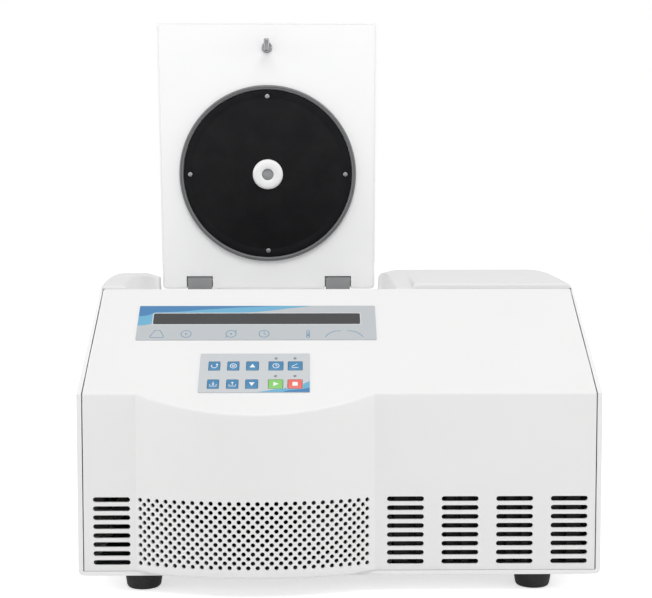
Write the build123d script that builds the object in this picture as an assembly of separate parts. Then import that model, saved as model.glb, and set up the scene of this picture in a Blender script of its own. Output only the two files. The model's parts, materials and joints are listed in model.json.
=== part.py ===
from build123d import *
import math
import os

# Refrigerated bench centrifuge with an open lid, in millimetres.
# +Z is up, -Y is the front. The origin is on the bench under the middle of the machine.

# Overall sizes
body_width = 600.0
body_depth = 588.0
foot_height = 22.0
face_height = 210.0
slope_run = body_depth / 4 - 1.0
slope_rise = 110.0
front_bow = 27.0

# Planes that follow from them
half = body_width / 2
face_y = front_bow - body_depth / 2
back_y = body_depth / 2
crease_z = foot_height + face_height
edge_y = face_y + slope_run
edge_z = crease_z + slope_rise

# Sheet and moulding thicknesses
shell_wall = 2.0
shell_rim = 5.7
panel_wall = 3.0
cover_wall = 3.0
seam = 2.3
side_draft = 6.5
fit = 0.3

# Facets of round pieces
lid_sides = 40
bowl_sides = 28
rotor_sides = 30
small_sides = 12

# Front bow, placed from the left side
bow_x = 203.5 - half
bow_half = 136.6
hole_pitch = 10.55
hole_size = 4.1
hole_row_pitch = 10.45
hole_rows = 8
hole_columns = 26
hole_top_z = 111.0

# Ventilation slots of the front panel: one column left of the bow, four right of it
slot_left_margin = 38.8
slot_right_margin = 36.9
slot_bow_margin = 34.9
slot_columns = 4
slot_share = 0.662
slot_height = 4.8
slot_pitch = 10.4
slot_rows = 8
slot_top_z = 111.4
slot_first_x = bow_x + bow_half + slot_bow_margin
slot_column_pitch = (half - slot_right_margin - slot_first_x) / (slot_columns - 1)
slot_length = slot_share * slot_column_pitch
slot_column_x = [slot_left_margin - half]
slot_column_x += [slot_first_x + k * slot_column_pitch for k in range(slot_columns)]

# Display and keypad on the slope: spans across from the middle of the bow, and up the slope from the crease
display_span = (-144.9, 141.8)
display_s = (89.5, 150.8)
window_span = (-126.5, 122.9)
window_s = (117.4, 136.8)
keypad_span = (-65.7, 62.2)
keypad_s = (1.2, 65.6)
film = 0.8
key_spans = ((-55.3, -42.3), (-33.4, -20.1), (-11.5, 2.5), (14.5, 31.1), (36.9, 53.3))
key_rows = ((37.4, 51.9), (7.4, 22.0))
key_names = (("key_speed", "key_force", "key_up", "key_timer", "key_open"),
             ("key_save", "key_recall", "key_down", "key_start", "key_stop"))
key_gap = 0.4
key_proud = 1.0
key_depth = 1.2
key_travel = 0.5

# Top deck and its covers
deck_sink = 26.0
deck_thickness = 3.0
recess_gap_left = 3.0
recess_gap_right = 4.0
left_slope_width = 20.0
left_slope_drop = 6.5
right_slope_width = 19.0
right_slope_drop = 9.4
raised_gap = 28.0
cover_half = half - side_draft - 0.5
cover_lap = 4.5
corner_width = 7.0
corner_drop = 4.5
deck_z = edge_z - deck_sink

# Crowned tops of the wings: height above the shell's top edge at shares of the length from the front
left_crown = ((0, 4.0), (0.06, 7.0), (0.14, 9.8), (0.25, 12.2), (0.36, 13.2), (0.48, 12.4),
              (0.6, 9.6), (0.72, 6.4), (0.84, 3.6), (1, 1.0))
shoulder_crown = ((0, 0), (0.1, 5.0), (0.23, 9.6), (0.35, 13.0), (0.48, 15.0), (0.62, 14.4),
                  (0.75, 12.0), (0.88, 7.5), (1, 2.0))
raised_crown = ((0, 8.0), (0.1, 10.2), (0.23, 12.6), (0.35, 14.2), (0.48, 15.0), (0.62, 14.4),
                (0.75, 12.0), (0.88, 7.5), (1, 2.0))

# Lid, drawn closed and then opened about its hinge
lid_width = 323.0
lid_thickness = 20.0
lid_wall = 3.0
lid_under_z = deck_z + 12.0
lid_front_y = edge_y + 7.0
lid_open_angle = 81.2
lid_tail = 14.0
hinge_y = back_y - 25.0
hinge_z = lid_under_z + 6.0
hinge_offsets = (-105.0, 105.5)
hinge_width = 37.0
hinge_radius = 5.0
hinge_pin_radius = 2.5
hinge_notch_gap = 1.5
hinge_ear = 6.0
running = 0.05

# Chamber
chamber_y = (hinge_y + lid_front_y) / 2 + 29.5
chamber_radius = 120.5
bowl_wall = 1.5
bowl_flange = chamber_radius + 11.5
bowl_hole = 22.0
collar_outer = chamber_radius + 13.5
collar_height = 6.6
insulation_radius = chamber_radius + 29.5
insulation_floor = 14.0

# Lid liner, gasket, viewport and striker
liner_radius = chamber_radius + 4.8
liner_thickness = 3.0
gasket_inner = liner_radius + fit
gasket_outer = gasket_inner + 6.0
gasket_height = 5.0
liner_screw_circle = liner_radius - 9.3
liner_screw_radius = 2.8
liner_screw_head = 1.5
viewport_outer = 22.5
viewport_inner = 8.7
viewport_height = 5.0
striker_y = lid_front_y + 34.5
striker_base_radius = 7.8
striker_post_radius = 4.0
striker_reach = 25.0
striker_nose = 15.6
striker_nose_width = 8.0
striker_nose_height = 6.0

# Motor, spindle and rotor, stacked up from the base plate
base_thickness = 3.0
base_top_z = foot_height + shell_wall + base_thickness
motor_radius = 62.0
motor_bottom_z = base_top_z + 30.0
motor_top_z = motor_bottom_z + 91.0
bowl_floor_z = motor_top_z + 17.0
mount_plate = 190.0
mount_plate_thickness = 5.0
damper_radius = 14.0
damper_spread = 78.0
spindle_radius = 8.0
spindle_socket = 30.0
shaft_gap = 0.15
rotor_bottom_z = bowl_floor_z + 21.0
spindle_top_z = rotor_bottom_z + 72.0
rotor_radius = 107.0
rotor_height = 98.0
rotor_rim_radius = 74.0
pocket_count = 6
pocket_radius = 14.7
pocket_tilt = 25.0
pocket_mouth_radius = 52.0
pocket_mouth_z = rotor_bottom_z + 89.0
pocket_length = 82.0
nut_radius = 17.0
nut_height = 11.0
rotor_lid_thickness = 4.0
knob_radius = 13.0
knob_height = 19.0

# Feet
foot_radius = 21.0
foot_x = half - 70.5
foot_y = back_y - 64.0

# Refrigeration
condenser_width = 216.0
condenser_height = 172.0
condenser_depth = 32.0
condenser_x = half - 130.0
condenser_fins = 11
fin_gap = 9.0
fan_radius = 76.0
fan_depth = 26.0
fan_hub_radius = 24.0
fan_blades = 5
fan_shaft_radius = 3.0
compressor_radius = 56.0
compressor_height = 176.0
compressor_x = half - 120.0
compressor_y = back_y - 144.0

# Rear panel, inlet and switch
rear_wall = 2.0
inlet_x = half - 65.0
inlet_z = 72.0
switch_x = half - 120.0
fuse_x = half - 25.0
rocker_pin_radius = 1.5
vent_rows = 5
vent_length = 150.0
vent_height = 6.0
vent_pitch = 14.0
vent_low_z = 150.0
vent_x = (-half / 2, half / 2 - 20.0)

# Power board on the left wall and transformer on the base
board_length = 270.0
board_y = edge_y + 31.0
board_z = (60.0, 250.0)
transformer_x = bow_x + 86.5
transformer_y = face_y + 107.0
transformer_size = (80.0, 52.0, 66.0)
winding_size = (52.0, 76.0, 40.0)

# Door lock
lock_width = 44.0
lock_length = 46.0
lock_height = 30.0
bolt_thickness = 3.0
bolt_travel = 14.0

# Derived places
slope_angle = math.atan2(slope_rise, slope_run)
slope_tan = slope_rise / slope_run
panel_half = half - shell_rim - seam
panel_top_half = panel_half - side_draft / 2
panel_bottom_z = foot_height + 6.0
flange_y = edge_y + 4.0
cover_front_y = flange_y + fit
cover_back_y = back_y - fit
lid_x0 = bow_x - lid_width / 2
lid_x1 = bow_x + lid_width / 2
recess_left = lid_x0 - recess_gap_left
recess_right = lid_x1 + recess_gap_right
raised_left = recess_right + raised_gap
lid_back_y = hinge_y + lid_tail
lid_top_z = lid_under_z + lid_thickness
floor_z = foot_height + shell_wall
rear_face_y = back_y - rear_wall
pocket_slope = math.tan(math.radians(pocket_tilt))
hinge_axis = Axis((0, hinge_y, hinge_z), (1, 0, 0))
slope_plane = Plane(origin=(0, face_y, crease_z), x_dir=(1, 0, 0),
                    z_dir=(0, -math.sin(slope_angle), math.cos(slope_angle)))

nodes = {}


def from_bow(span):
    """A span across, given from the middle of the bow."""
    return bow_x + span[0], bow_x + span[1]


display_x = from_bow(display_span)
window_x = from_bow(window_span)
keypad_x = from_bow(keypad_span)
key_columns = [from_bow(span) for span in key_spans]


def block(x0, x1, y0, y1, z0, z1):
    """A box from its low and high corners."""
    return Pos((x0 + x1) / 2, (y0 + y1) / 2, (z0 + z1) / 2) * Box(x1 - x0, y1 - y0, z1 - z0)


def prism(x, y, z0, z1, radius, sides):
    """An upright prism with a regular outline."""
    return extrude(Plane((x, y, z0)) * RegularPolygon(radius, sides), z1 - z0)


def rod(x, y, z0, z1, radius):
    """An upright round rod."""
    return Pos(x, y, (z0 + z1) / 2) * Cylinder(radius, z1 - z0)


def rod_deep(x, z, y0, y1, radius):
    """A level round rod along Y."""
    return Pos(x, (y0 + y1) / 2, z) * Rot(90, 0, 0) * Cylinder(radius, y1 - y0)


def rod_wide(y, z, x0, x1, radius):
    """A level round rod along X."""
    return Pos((x0 + x1) / 2, y, z) * Rot(0, 90, 0) * Cylinder(radius, x1 - x0)


def side_extrusion(points, x0, x1):
    """A Y-Z outline carried along X."""
    return extrude(Plane.YZ.offset(x0) * Polygon(*points, align=None), x1 - x0, dir=(1, 0, 0))


def front_extrusion(points, y0, y1):
    """An X-Z outline carried along Y."""
    plane = Plane(origin=(0, y0, 0), x_dir=(1, 0, 0), z_dir=(0, -1, 0))
    return extrude(plane * Polygon(*points, align=None), y1 - y0, dir=(0, 1, 0))


def plan_extrusion(points, z0, z1):
    """An X-Y outline carried upwards."""
    return extrude(Plane.XY.offset(z0) * Polygon(*points, align=None), z1 - z0, dir=(0, 0, 1))


def across(x, z, y0, y1, radius, sides):
    """A level prism along Y with a regular outline."""
    return Pos(x, y1, z) * Rot(90, 0, 0) * extrude(RegularPolygon(radius, sides), y1 - y0)


def on_slope(x0, x1, s0, s1, low, high):
    """A box on the slope, between two heights above its surface."""
    return slope_plane * block(x0, x1, s0, s1, low, high)


def stack(x, y, levels, sides):
    """A round piece from height and radius pairs, with flat facets between them."""
    solid = None
    for (z0, r0), (z1, r1) in zip(levels, levels[1:]):
        if z1 - z0 < 0.01:
            continue
        wide, narrow = max(r0, r1), min(r0, r1)
        lean = math.degrees(math.atan((wide - narrow) * math.cos(math.pi / sides) / (z1 - z0)))
        part = extrude(RegularPolygon(wide, sides), z1 - z0, taper=lean)
        place = Pos(x, y, z0) if r0 >= r1 else Pos(x, y, z1) * Rot(180, 0, 0)
        part = place * part
        solid = part if solid is None else solid + part
    return solid


def drafted(x_low, x_high, y0, y1, z0):
    """A block that narrows above the crease, as the side walls do."""
    points = [(-x_low, z0), (x_low, z0), (x_low, crease_z), (x_high, edge_z),
              (-x_high, edge_z), (-x_low, crease_z)]
    return front_extrusion(points, y0, y1)


# Outer shell: a bent sheet with two side walls, a floor and a narrow rim round the front panel
def make_shell():
    wall = shell_wall
    lift = wall / math.cos(slope_angle)
    outline = [(face_y, foot_height), (face_y, crease_z), (edge_y, edge_z),
               (back_y, edge_z), (back_y, foot_height)]
    inner = [(face_y + wall, floor_z), (face_y + wall, crease_z + wall * slope_tan - lift),
             (edge_y, edge_z - lift), (edge_y, edge_z + 9), (back_y + 9, edge_z + 9), (back_y + 9, floor_z)]
    outer = side_extrusion(outline, -half, half)
    outer &= drafted(half, half - side_draft, face_y - 1, back_y + 1, foot_height)
    bottom = outer.edges().filter_by(Axis.Y).group_by(Axis.Z)[0]
    outer = fillet(bottom, 6.0)
    hollow = side_extrusion(inner, -half, half)
    hollow &= drafted(half - wall, half - side_draft - wall, face_y, back_y + 5, floor_z)
    hollow += drafted(half - wall - 1, half - side_draft - wall, edge_y + 1, back_y + 5, edge_z - 20)
    opening = drafted(half - shell_rim, half - side_draft - shell_rim + 2.6,
                      face_y - 5, edge_y + 2, panel_bottom_z - 1)
    top_half = half - side_draft - wall
    top = block(-top_half, top_half, edge_y, back_y + 5, edge_z - 5, edge_z + 5)
    return outer - hollow - opening - top


# Front panel: one moulding with a bowed lower face, a slope, slots and a perforated field
def bow_point(k, radius, count):
    angle = (k - count / 2) * hole_pitch / 2 / bow_radius
    return bow_x + radius * math.sin(angle), bow_centre_y - radius * math.cos(angle)


bow_radius = (bow_half ** 2 + front_bow ** 2) / (2 * front_bow)
bow_centre_y = face_y - front_bow + bow_radius


def bow_plan(inset):
    """The bow in plan, one flat facet for every half pitch of the holes."""
    radius = bow_radius - inset
    count = 2 * hole_columns - 1
    points = [bow_point(k, radius, count) for k in range(count + 1)]
    reach = bow_half - inset * 0.6
    y_end = face_y + inset
    return [(bow_x - reach, y_end + 6), (bow_x - reach, y_end)] + points + [
        (bow_x + reach, y_end), (bow_x + reach, y_end + 6)]


def panel_mass(inset):
    """The panel as a full mass, moved in by an inset."""
    lift = inset / math.cos(slope_angle)
    slope_low_z = crease_z + inset * slope_tan - lift
    bottom = panel_bottom_z if inset == 0 else panel_bottom_z - 10
    outline = [(face_y + inset, bottom), (face_y + inset, slope_low_z),
               (edge_y + inset / 3, edge_z + inset / 3 * slope_tan - lift),
               (flange_y - inset, edge_z - lift if inset else edge_z), (flange_y - inset, bottom)]
    mass = side_extrusion(outline, -half, half)
    front = face_y - front_bow - 5
    cap = [(front, bottom), (front, crease_z + (front - face_y) * slope_tan - lift),
           (face_y + 4, crease_z + 4 * slope_tan - lift), (face_y + 4, bottom)]
    bow = plan_extrusion(bow_plan(inset), bottom, crease_z + 5)
    return mass + (bow & side_extrusion(cap, -half, half))


def slot_cutter(x, z, y0, y1, length=slot_length, height=slot_height):
    """A slot driven along Y."""
    return block(x - length / 2, x + length / 2, y0, y1, z - height / 2, z + height / 2)


def grille_cutters():
    """Square holes in staggered rows, each square to its own facet of the bow."""
    cutters = []
    count = 2 * hole_columns - 1
    profile = Plane.XZ * Rectangle(hole_size, hole_size)
    pin = extrude(profile, panel_wall + 2, both=True)
    for row in range(2 * hole_rows - 1):
        z = hole_top_z - row * hole_row_pitch / 2
        first = 0 if row % 2 == 0 else 1
        for k in range(first, count, 2):
            angle = (k + 0.5 - count / 2) * hole_pitch / 2 / bow_radius
            x = bow_x + bow_radius * math.sin(angle)
            y = bow_centre_y - bow_radius * math.cos(angle)
            cutters.append(Pos(x, y, z) * Rot(0, 0, math.degrees(angle)) * pin)
    return cutters


def make_front_panel():
    panel = panel_mass(0) - panel_mass(panel_wall)
    back = block(-half, half, flange_y - panel_wall - 2, flange_y + 1, 0, deck_z - 8)
    panel = panel - back
    panel &= drafted(panel_half, panel_top_half, face_y - front_bow - 1, flange_y + 1, panel_bottom_z)
    slots = []
    for x in slot_column_x:
        for row in range(slot_rows):
            slots.append(slot_cutter(x, slot_top_z - row * slot_pitch, face_y - 4, face_y + panel_wall + 4))
    windows = [on_slope(window_x[0] + 2, window_x[1] - 2, window_s[0] + 2, window_s[1] - 2, -12, 1)]
    for (x0, x1), (s0, s1), _ in keys():
        windows.append(on_slope(x0 - key_gap, x1 + key_gap, s0 - key_gap, s1 + key_gap, -6, 1))
    return panel - slots - windows - grille_cutters()


def keys():
    """Every key as its X span, its span up the slope, and its name."""
    for row, names in zip(key_rows, key_names):
        for column, name in zip(key_columns, names):
            yield column, row, name


# Display and keypad pieces on the slope
def make_controls():
    frame_film = on_slope(*display_x, *display_s, 0, film)
    nodes["display_overlay"] = frame_film - on_slope(*window_x, *window_s, -1, film + 1)
    nodes["display_window"] = on_slope(window_x[0] + 0.1, window_x[1] - 0.1, window_s[0] + 0.1,
                                       window_s[1] - 0.1, 0, film - 0.1)
    pad = on_slope(*keypad_x, *keypad_s, 0, film)
    for (x0, x1), (s0, s1), name in keys():
        pad -= on_slope(x0 - key_gap, x1 + key_gap, s0 - key_gap, s1 + key_gap, -1, film + 1)
        nodes[name] = on_slope(x0, x1, s0, s1, -key_depth, key_proud)
    nodes["keypad_overlay"] = pad
    top = -panel_wall
    board = on_slope(display_x[0] + 8, display_x[1] - 8, 4, display_s[1] - 10, top - 8, top - 6)
    board += on_slope(window_x[0] + 4, window_x[1] - 4, window_s[0] + 3, window_s[1] - 3, top - 6, -0.6)
    for (x0, x1), (s0, s1), _ in keys():
        x, s = (x0 + x1) / 2, (s0 + s1) / 2
        board += on_slope(x - 3, x + 3, s - 3, s + 3, top - 6, -key_depth - key_travel - 0.1)
    for x in (display_x[0] + 12, display_x[1] - 12):
        board += on_slope(x - 4, x + 4, 60, 68, top - 6, top)
    nodes["control_board"] = board


# Top cover: recessed deck with a chamber collar, two crowned wings and the raised right cover
def crown(x0, x1, heights, drop0, drop1, inset):
    """A crowned mass between two upright planes; its top drops by drop0 at x0 and drop1 at x1."""
    y0, y1 = cover_front_y + inset, cover_back_y - inset
    bottom = deck_z - deck_thickness - (5 if inset else 0)
    sections = []
    for x, drop in ((x0, drop0), (x1, drop1)):
        top = [(y0 + share * (y1 - y0), edge_z + height - drop - inset) for share, height in heights]
        outline = [(y0, bottom)] + top + [(y1, bottom)]
        sections.append(Plane.YZ.offset(x) * Polygon(*outline, align=None))
    return loft(sections, ruled=True)


def cover_mass(inset):
    left, right = recess_left - inset, recess_right + inset
    wide = cover_half - inset
    shoulder = wide - corner_width
    mass = crown(-wide, -shoulder, left_crown, corner_drop, 0, inset)
    mass += crown(-shoulder, left - left_slope_width, left_crown, 0, 0, inset)
    mass += crown(left - left_slope_width, left, left_crown, 0, left_slope_drop, inset)
    mass += crown(right, right + right_slope_width, shoulder_crown, right_slope_drop, 0, inset)
    mass += crown(right + right_slope_width, raised_left + inset, shoulder_crown, 0, 0, inset)
    mass += crown(raised_left + inset, shoulder, raised_crown, 0, 0, inset)
    mass += crown(shoulder, wide, raised_crown, 0, corner_drop, inset)
    body = cover_half - cover_lap - inset
    ledge_z = edge_z + fit + inset
    for x0, x1 in ((-half, -body), (body, half)):
        mass -= block(x0, x1, -body_depth, body_depth, 0, ledge_z)
    return mass


def make_top_cover():
    under = deck_z - deck_thickness
    cover = cover_mass(0) - cover_mass(cover_wall)
    cover += block(recess_left - 1, recess_right + 1, cover_front_y, cover_back_y, under, deck_z)
    cover += prism(bow_x, chamber_y, under, deck_z + collar_height, collar_outer, lid_sides)
    cover -= prism(bow_x, chamber_y, under - 1, deck_z + collar_height + 1, chamber_radius + 2, lid_sides)
    slot = block(bow_x - 8, bow_x + 8, striker_y - striker_nose - 4, striker_y + 8, under - 1, deck_z + 1)
    return cover - slot


# Rear panel: a flat sheet with vent slots and openings for the inlet, switch and fuse
def make_rear_panel():
    top = deck_z - deck_thickness - fit
    side = half - shell_wall - fit
    panel = block(-side, side, rear_face_y, back_y, floor_z + fit, top)
    panel &= drafted(side, side - side_draft, rear_face_y, back_y, floor_z)
    cut_y = (rear_face_y - 1, back_y + 1)
    vents = []
    for x in vent_x:
        for row in range(vent_rows):
            vents.append(slot_cutter(x, vent_low_z + row * vent_pitch, *cut_y, vent_length, vent_height))
    panel -= vents
    panel -= block(inlet_x - 14, inlet_x + 14, *cut_y, inlet_z - 10, inlet_z + 10)
    panel -= block(switch_x - 10.5, switch_x + 10.5, *cut_y, inlet_z - 14, inlet_z + 14)
    panel -= across(fuse_x, inlet_z, *cut_y, 6.2, 12)
    return panel


def make_rear_fittings():
    y_out = back_y + 2.0
    socket = block(inlet_x - 17, inlet_x + 17, back_y, y_out, inlet_z - 13, inlet_z + 13)
    socket += block(inlet_x - 13.7, inlet_x + 13.7, back_y - 26, back_y, inlet_z - 9.7, inlet_z + 9.7)
    socket -= block(inlet_x - 11.5, inlet_x + 11.5, back_y - 18, y_out + 1, inlet_z - 7.5, inlet_z + 7.5)
    nodes["power_inlet"] = socket
    frame = block(switch_x - 12.5, switch_x + 12.5, back_y, y_out, inlet_z - 16, inlet_z + 16)
    frame += block(switch_x - 10.2, switch_x + 10.2, back_y - 22, back_y, inlet_z - 13.7, inlet_z + 13.7)
    frame -= block(switch_x - 8.2, switch_x + 8.2, back_y - 16, y_out + 1, inlet_z - 12, inlet_z + 12)
    y, z = back_y - 3.0, inlet_z
    for x0, x1 in ((switch_x - 8.2, switch_x - 6.4), (switch_x + 6.4, switch_x + 8.2)):
        frame += rod_wide(y, z, x0, x1, rocker_pin_radius)
    nodes["switch_frame"] = frame
    outline = [(y - 7, z - 6), (y + 2, z - 10.5), (y + 5.2, z - 10.2), (y + 3.6, z),
               (y + 7.4, z + 9.2), (y + 4.6, z + 10.4), (y - 7, z + 6)]
    rocker = side_extrusion(outline, switch_x - 7.8, switch_x + 7.8)
    bore = rod_wide(y, z, switch_x - 10, switch_x + 10, rocker_pin_radius + running)
    nodes["switch_rocker"] = rocker - bore
    fuse = across(fuse_x, inlet_z, back_y - 26, back_y, 5.9, 12)
    nodes["fuse_holder"] = fuse + across(fuse_x, inlet_z, back_y, back_y + 6, 8.0, 12)


# Feet
def make_foot(x, y):
    return stack(x, y, [(0, foot_radius - 6), (3, foot_radius - 3), (foot_height, foot_radius)], 14)


# Chamber, motor and rotor, all on one upright axis
def make_chamber():
    under = deck_z - deck_thickness
    r = chamber_radius
    x, y = bow_x, chamber_y
    bowl = prism(x, y, bowl_floor_z, under, r + bowl_wall, bowl_sides)
    bowl += prism(x, y, under - bowl_wall, under, bowl_flange, bowl_sides)
    bowl -= prism(x, y, bowl_floor_z + bowl_wall, under + 1, r, bowl_sides)
    nodes["chamber_bowl"] = bowl - prism(x, y, 0, under, bowl_hole, small_sides)
    top = under - bowl_wall
    foam = prism(x, y, bowl_floor_z - insulation_floor, top, insulation_radius, small_sides)
    foam -= prism(x, y, bowl_floor_z - fit, top + 1, r + bowl_wall + fit, bowl_sides)
    lock_y0, lock_y1 = lock_span()
    foam -= block(x - 90, x + 30, lock_y0 - fit, lock_y1 + 2, under - lock_height - 2, top + 1)
    nodes["chamber_insulation"] = foam - prism(x, y, 0, bowl_floor_z, bowl_hole, small_sides)
    seal = prism(x, y, motor_top_z, bowl_floor_z + 4, bowl_hole - fit, small_sides)
    nodes["chamber_seal"] = seal - prism(x, y, 0, bowl_floor_z + 9, spindle_radius + 1.5, small_sides)


def make_drive():
    x, y = bow_x, chamber_y
    nodes["base_plate"] = block(-half + 14, half - 14, face_y + 14, back_y - 14, floor_z, base_top_z)
    plate_z = motor_bottom_z - mount_plate_thickness
    a = mount_plate / 2
    nodes["motor_mount_plate"] = block(x - a, x + a, y - a, y + a, plate_z, motor_bottom_z)
    dampers = [prism(x + u, y + v, base_top_z, plate_z, damper_radius, 10)
               for u in (-damper_spread, damper_spread) for v in (-damper_spread, damper_spread)]
    nodes["motor_dampers"] = Compound(children=dampers)
    r, low, high = motor_radius, motor_bottom_z, motor_top_z
    motor = stack(x, y, [(low, r), (high - 8, r), (high, r - 20)], 20)
    motor += prism(x, y, low, low + 8, r + 8, 20)
    bore_z = high - spindle_socket
    nodes["motor"] = motor - rod(x, y, bore_z, high + 1, spindle_radius + shaft_gap)
    shaft = rod(x, y, bore_z + 1, spindle_top_z, spindle_radius)
    shaft += prism(x, y, rotor_bottom_z - 2, rotor_bottom_z, spindle_radius + 5, small_sides)
    nodes["spindle"] = shaft


def dish_z(radius):
    """Height of the rotor's dished top, square to the tube pockets."""
    return pocket_mouth_z + (radius - pocket_mouth_radius) * pocket_slope


def make_rotor():
    x, y = bow_x, chamber_y
    low, high = rotor_bottom_z, rotor_bottom_z + rotor_height
    inner_edge = rotor_rim_radius - 8
    hub_flat = 36.0
    outside = [(low, rotor_radius - 11), (low + 11, rotor_radius), (low + 26, rotor_radius),
               (high, rotor_rim_radius)]
    dish = [(dish_z(hub_flat), hub_flat), (dish_z(inner_edge), inner_edge), (high + 1, inner_edge)]
    rotor = stack(x, y, outside, rotor_sides) - stack(x, y, dish, rotor_sides)
    rotor -= rod(x, y, low - 1, high, spindle_radius + running)
    for k in range(pocket_count):
        place = Pos(x, y, pocket_mouth_z) * Rot(0, 0, 360 * k / pocket_count)
        tilt = Pos(pocket_mouth_radius, 0, 0) * Rot(0, -pocket_tilt, 0)
        pocket = Pos(0, 0, -pocket_length) * extrude(RegularPolygon(pocket_radius, 10), pocket_length + 20)
        rotor -= place * tilt * pocket
    nodes["rotor"] = rotor
    nut_z = dish_z(hub_flat)
    nodes["rotor_nut"] = prism(x, y, nut_z, nut_z + nut_height, nut_radius, 6)
    cap = stack(x, y, [(high, rotor_rim_radius), (high + 2, rotor_rim_radius),
                       (high + rotor_lid_thickness, rotor_rim_radius - 12)], rotor_sides)
    nodes["rotor_lid"] = cap
    knob_z = high + rotor_lid_thickness
    knob_top = knob_z + knob_height
    nodes["rotor_lid_knob"] = stack(x, y, [(knob_z, knob_radius), (knob_top - 4, knob_radius),
                                           (knob_top, knob_radius - 3)], 12)


# Lid pieces, drawn closed
def make_lid():
    z0, z1 = lid_under_z, lid_top_z
    w = lid_wall
    shell = block(lid_x0, lid_x1, lid_front_y, lid_back_y, z0, z1)
    rims = shell.edges().filter_by(Axis.Z)
    shell = chamfer(rims, 4.0)
    top_edges = shell.faces().sort_by(Axis.Z)[-1].edges()
    shell = chamfer(top_edges, 2.0)
    shell -= block(lid_x0 + w, lid_x1 - w, lid_front_y + w, lid_back_y - w, z0 - 1, z1 - w)
    inner = block(lid_x0 + w, lid_x1 - w, lid_front_y + w, lid_back_y - w, z0, z0 + w)
    core_back = hinge_y - 16
    core = block(lid_x0 + w, lid_x1 - w, lid_front_y + w, core_back, z0 + w, z1 - w)
    window_x_y = (bow_x, chamber_y)
    lens_hole = prism(*window_x_y, z0 - 9, z1 + 1, viewport_inner + 0.1, small_sides)
    notches, bores, brackets, pins = [], [], [], []
    for offset in hinge_offsets:
        x = bow_x + offset
        a = hinge_width / 2
        b = a + hinge_notch_gap
        notches.append(block(x - b, x + b, hinge_y - 9, lid_back_y + 1, z0 - 1, hinge_z + 8))
        c = b + hinge_ear
        inner += block(x - c, x + c, hinge_y - 9, hinge_y + 9, z0 + w, z1 - w - fit / 2)
        bores.append(hinge_rod(x, 2 * c + 4, hinge_pin_radius + running))
        r = hinge_radius
        head = [(hinge_y - 30, deck_z), (hinge_y + r, deck_z), (hinge_y + r, hinge_z + r / 2),
                (hinge_y + r / 2, hinge_z + r), (hinge_y - r / 2, hinge_z + r),
                (hinge_y - r, hinge_z + r / 2), (hinge_y - r, deck_z + 2.5), (hinge_y - 30, deck_z + 2.5)]
        stem = side_extrusion(head, x - a, x + a)
        brackets.append(stem - hinge_rod(x, hinge_width + 2, hinge_pin_radius + running))
        pins.append(hinge_rod(x, 2 * c - 1, hinge_pin_radius))
    nodes["lid_shell"] = shell - notches - lens_hole
    nodes["lid_inner_panel"] = inner - notches - bores - lens_hole
    nodes["lid_core"] = core - lens_hole
    nodes["hinge_brackets"] = Compound(children=brackets)
    nodes["hinge_pins"] = Compound(children=pins)


def hinge_rod(x, length, radius):
    """A hinge pin or its bore, centred on x."""
    return rod_wide(hinge_y, hinge_z, x - length / 2, x + length / 2, radius)


def make_lid_fittings():
    x, y, z = bow_x, chamber_y, lid_under_z
    liner = prism(x, y, z - liner_thickness, z, liner_radius, lid_sides)
    bore = prism(x, y, z - 20, z + 1, viewport_inner + 0.1, small_sides)
    nodes["lid_liner"] = liner - bore
    gasket = prism(x, y, z - gasket_height, z, gasket_outer, lid_sides)
    nodes["lid_gasket"] = gasket - prism(x, y, z - 9, z + 1, gasket_inner, lid_sides)
    face = z - liner_thickness
    ring = [(face - viewport_height, viewport_outer - 2), (face - viewport_height + 2, viewport_outer),
            (face, viewport_outer)]
    nodes["viewport_ring"] = stack(x, y, ring, 24) - bore
    nodes["viewport_lens"] = prism(x, y, face - viewport_height + 3, lid_top_z, viewport_inner, small_sides)
    screws = [prism(x + liner_screw_circle * math.cos(a), y + liner_screw_circle * math.sin(a),
                    face - liner_screw_head, face, liner_screw_radius, 6)
              for a in (k * math.pi / 2 for k in range(4))]
    nodes["liner_screws"] = Compound(children=screws)
    low = z - striker_reach
    striker = prism(x, striker_y, z - 3, z, striker_base_radius, small_sides)
    striker += prism(x, striker_y, low, z - 3, striker_post_radius, 12)
    a = striker_nose_width / 2
    nose = [(striker_y, low), (striker_y - striker_nose + 3, low), (striker_y - striker_nose, low + 3),
            (striker_y - striker_nose, low + striker_nose_height), (striker_y, low + striker_nose_height)]
    nodes["lid_striker"] = striker + side_extrusion(nose, x - a, x + a)


# Lid lock under the deck: housing, sliding bolt and solenoid
def lock_span():
    y0 = striker_y - striker_nose - 12
    return y0, y0 + lock_length


def make_lock():
    x = bow_x
    top = deck_z - deck_thickness
    y0, y1 = lock_span()
    z0 = top - lock_height
    low = lid_under_z - striker_reach
    housing = block(x - lock_width / 2, x + lock_width / 2, y0, y1, z0, top)
    housing -= block(x - 7, x + 7, striker_y - striker_nose - 4, striker_y + 8, low - 6, top + 1)
    nose_top = low + striker_nose_height
    by0, by1 = striker_y - striker_nose + 0.5, striker_y - striker_post_radius - 1.5
    bz0, bz1 = nose_top + 0.4, nose_top + 0.4 + bolt_thickness
    channel = block(x - 60, x + 7, by0 - fit, by1 + fit, bz0 - fit, bz1 + fit)
    housing -= channel
    nodes["lock_housing"] = housing
    bolt_x1 = x - 8.0
    bolt_x0 = x - lock_width / 2 - bolt_travel - 4
    bolt = block(bolt_x0, bolt_x1, by0, by1, bz0, bz1)
    nodes["lock_bolt"] = bolt
    sx1 = bolt_x0 + 2 - fit
    coil = block(sx1 - 30, sx1 + bolt_travel - 14, y0 + 2, y1 - 2, z0, top)
    nodes["lock_solenoid"] = coil - block(sx1 - 20, x, by0 - fit, by1 + fit, bz0 - fit, bz1 + fit)


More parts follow.
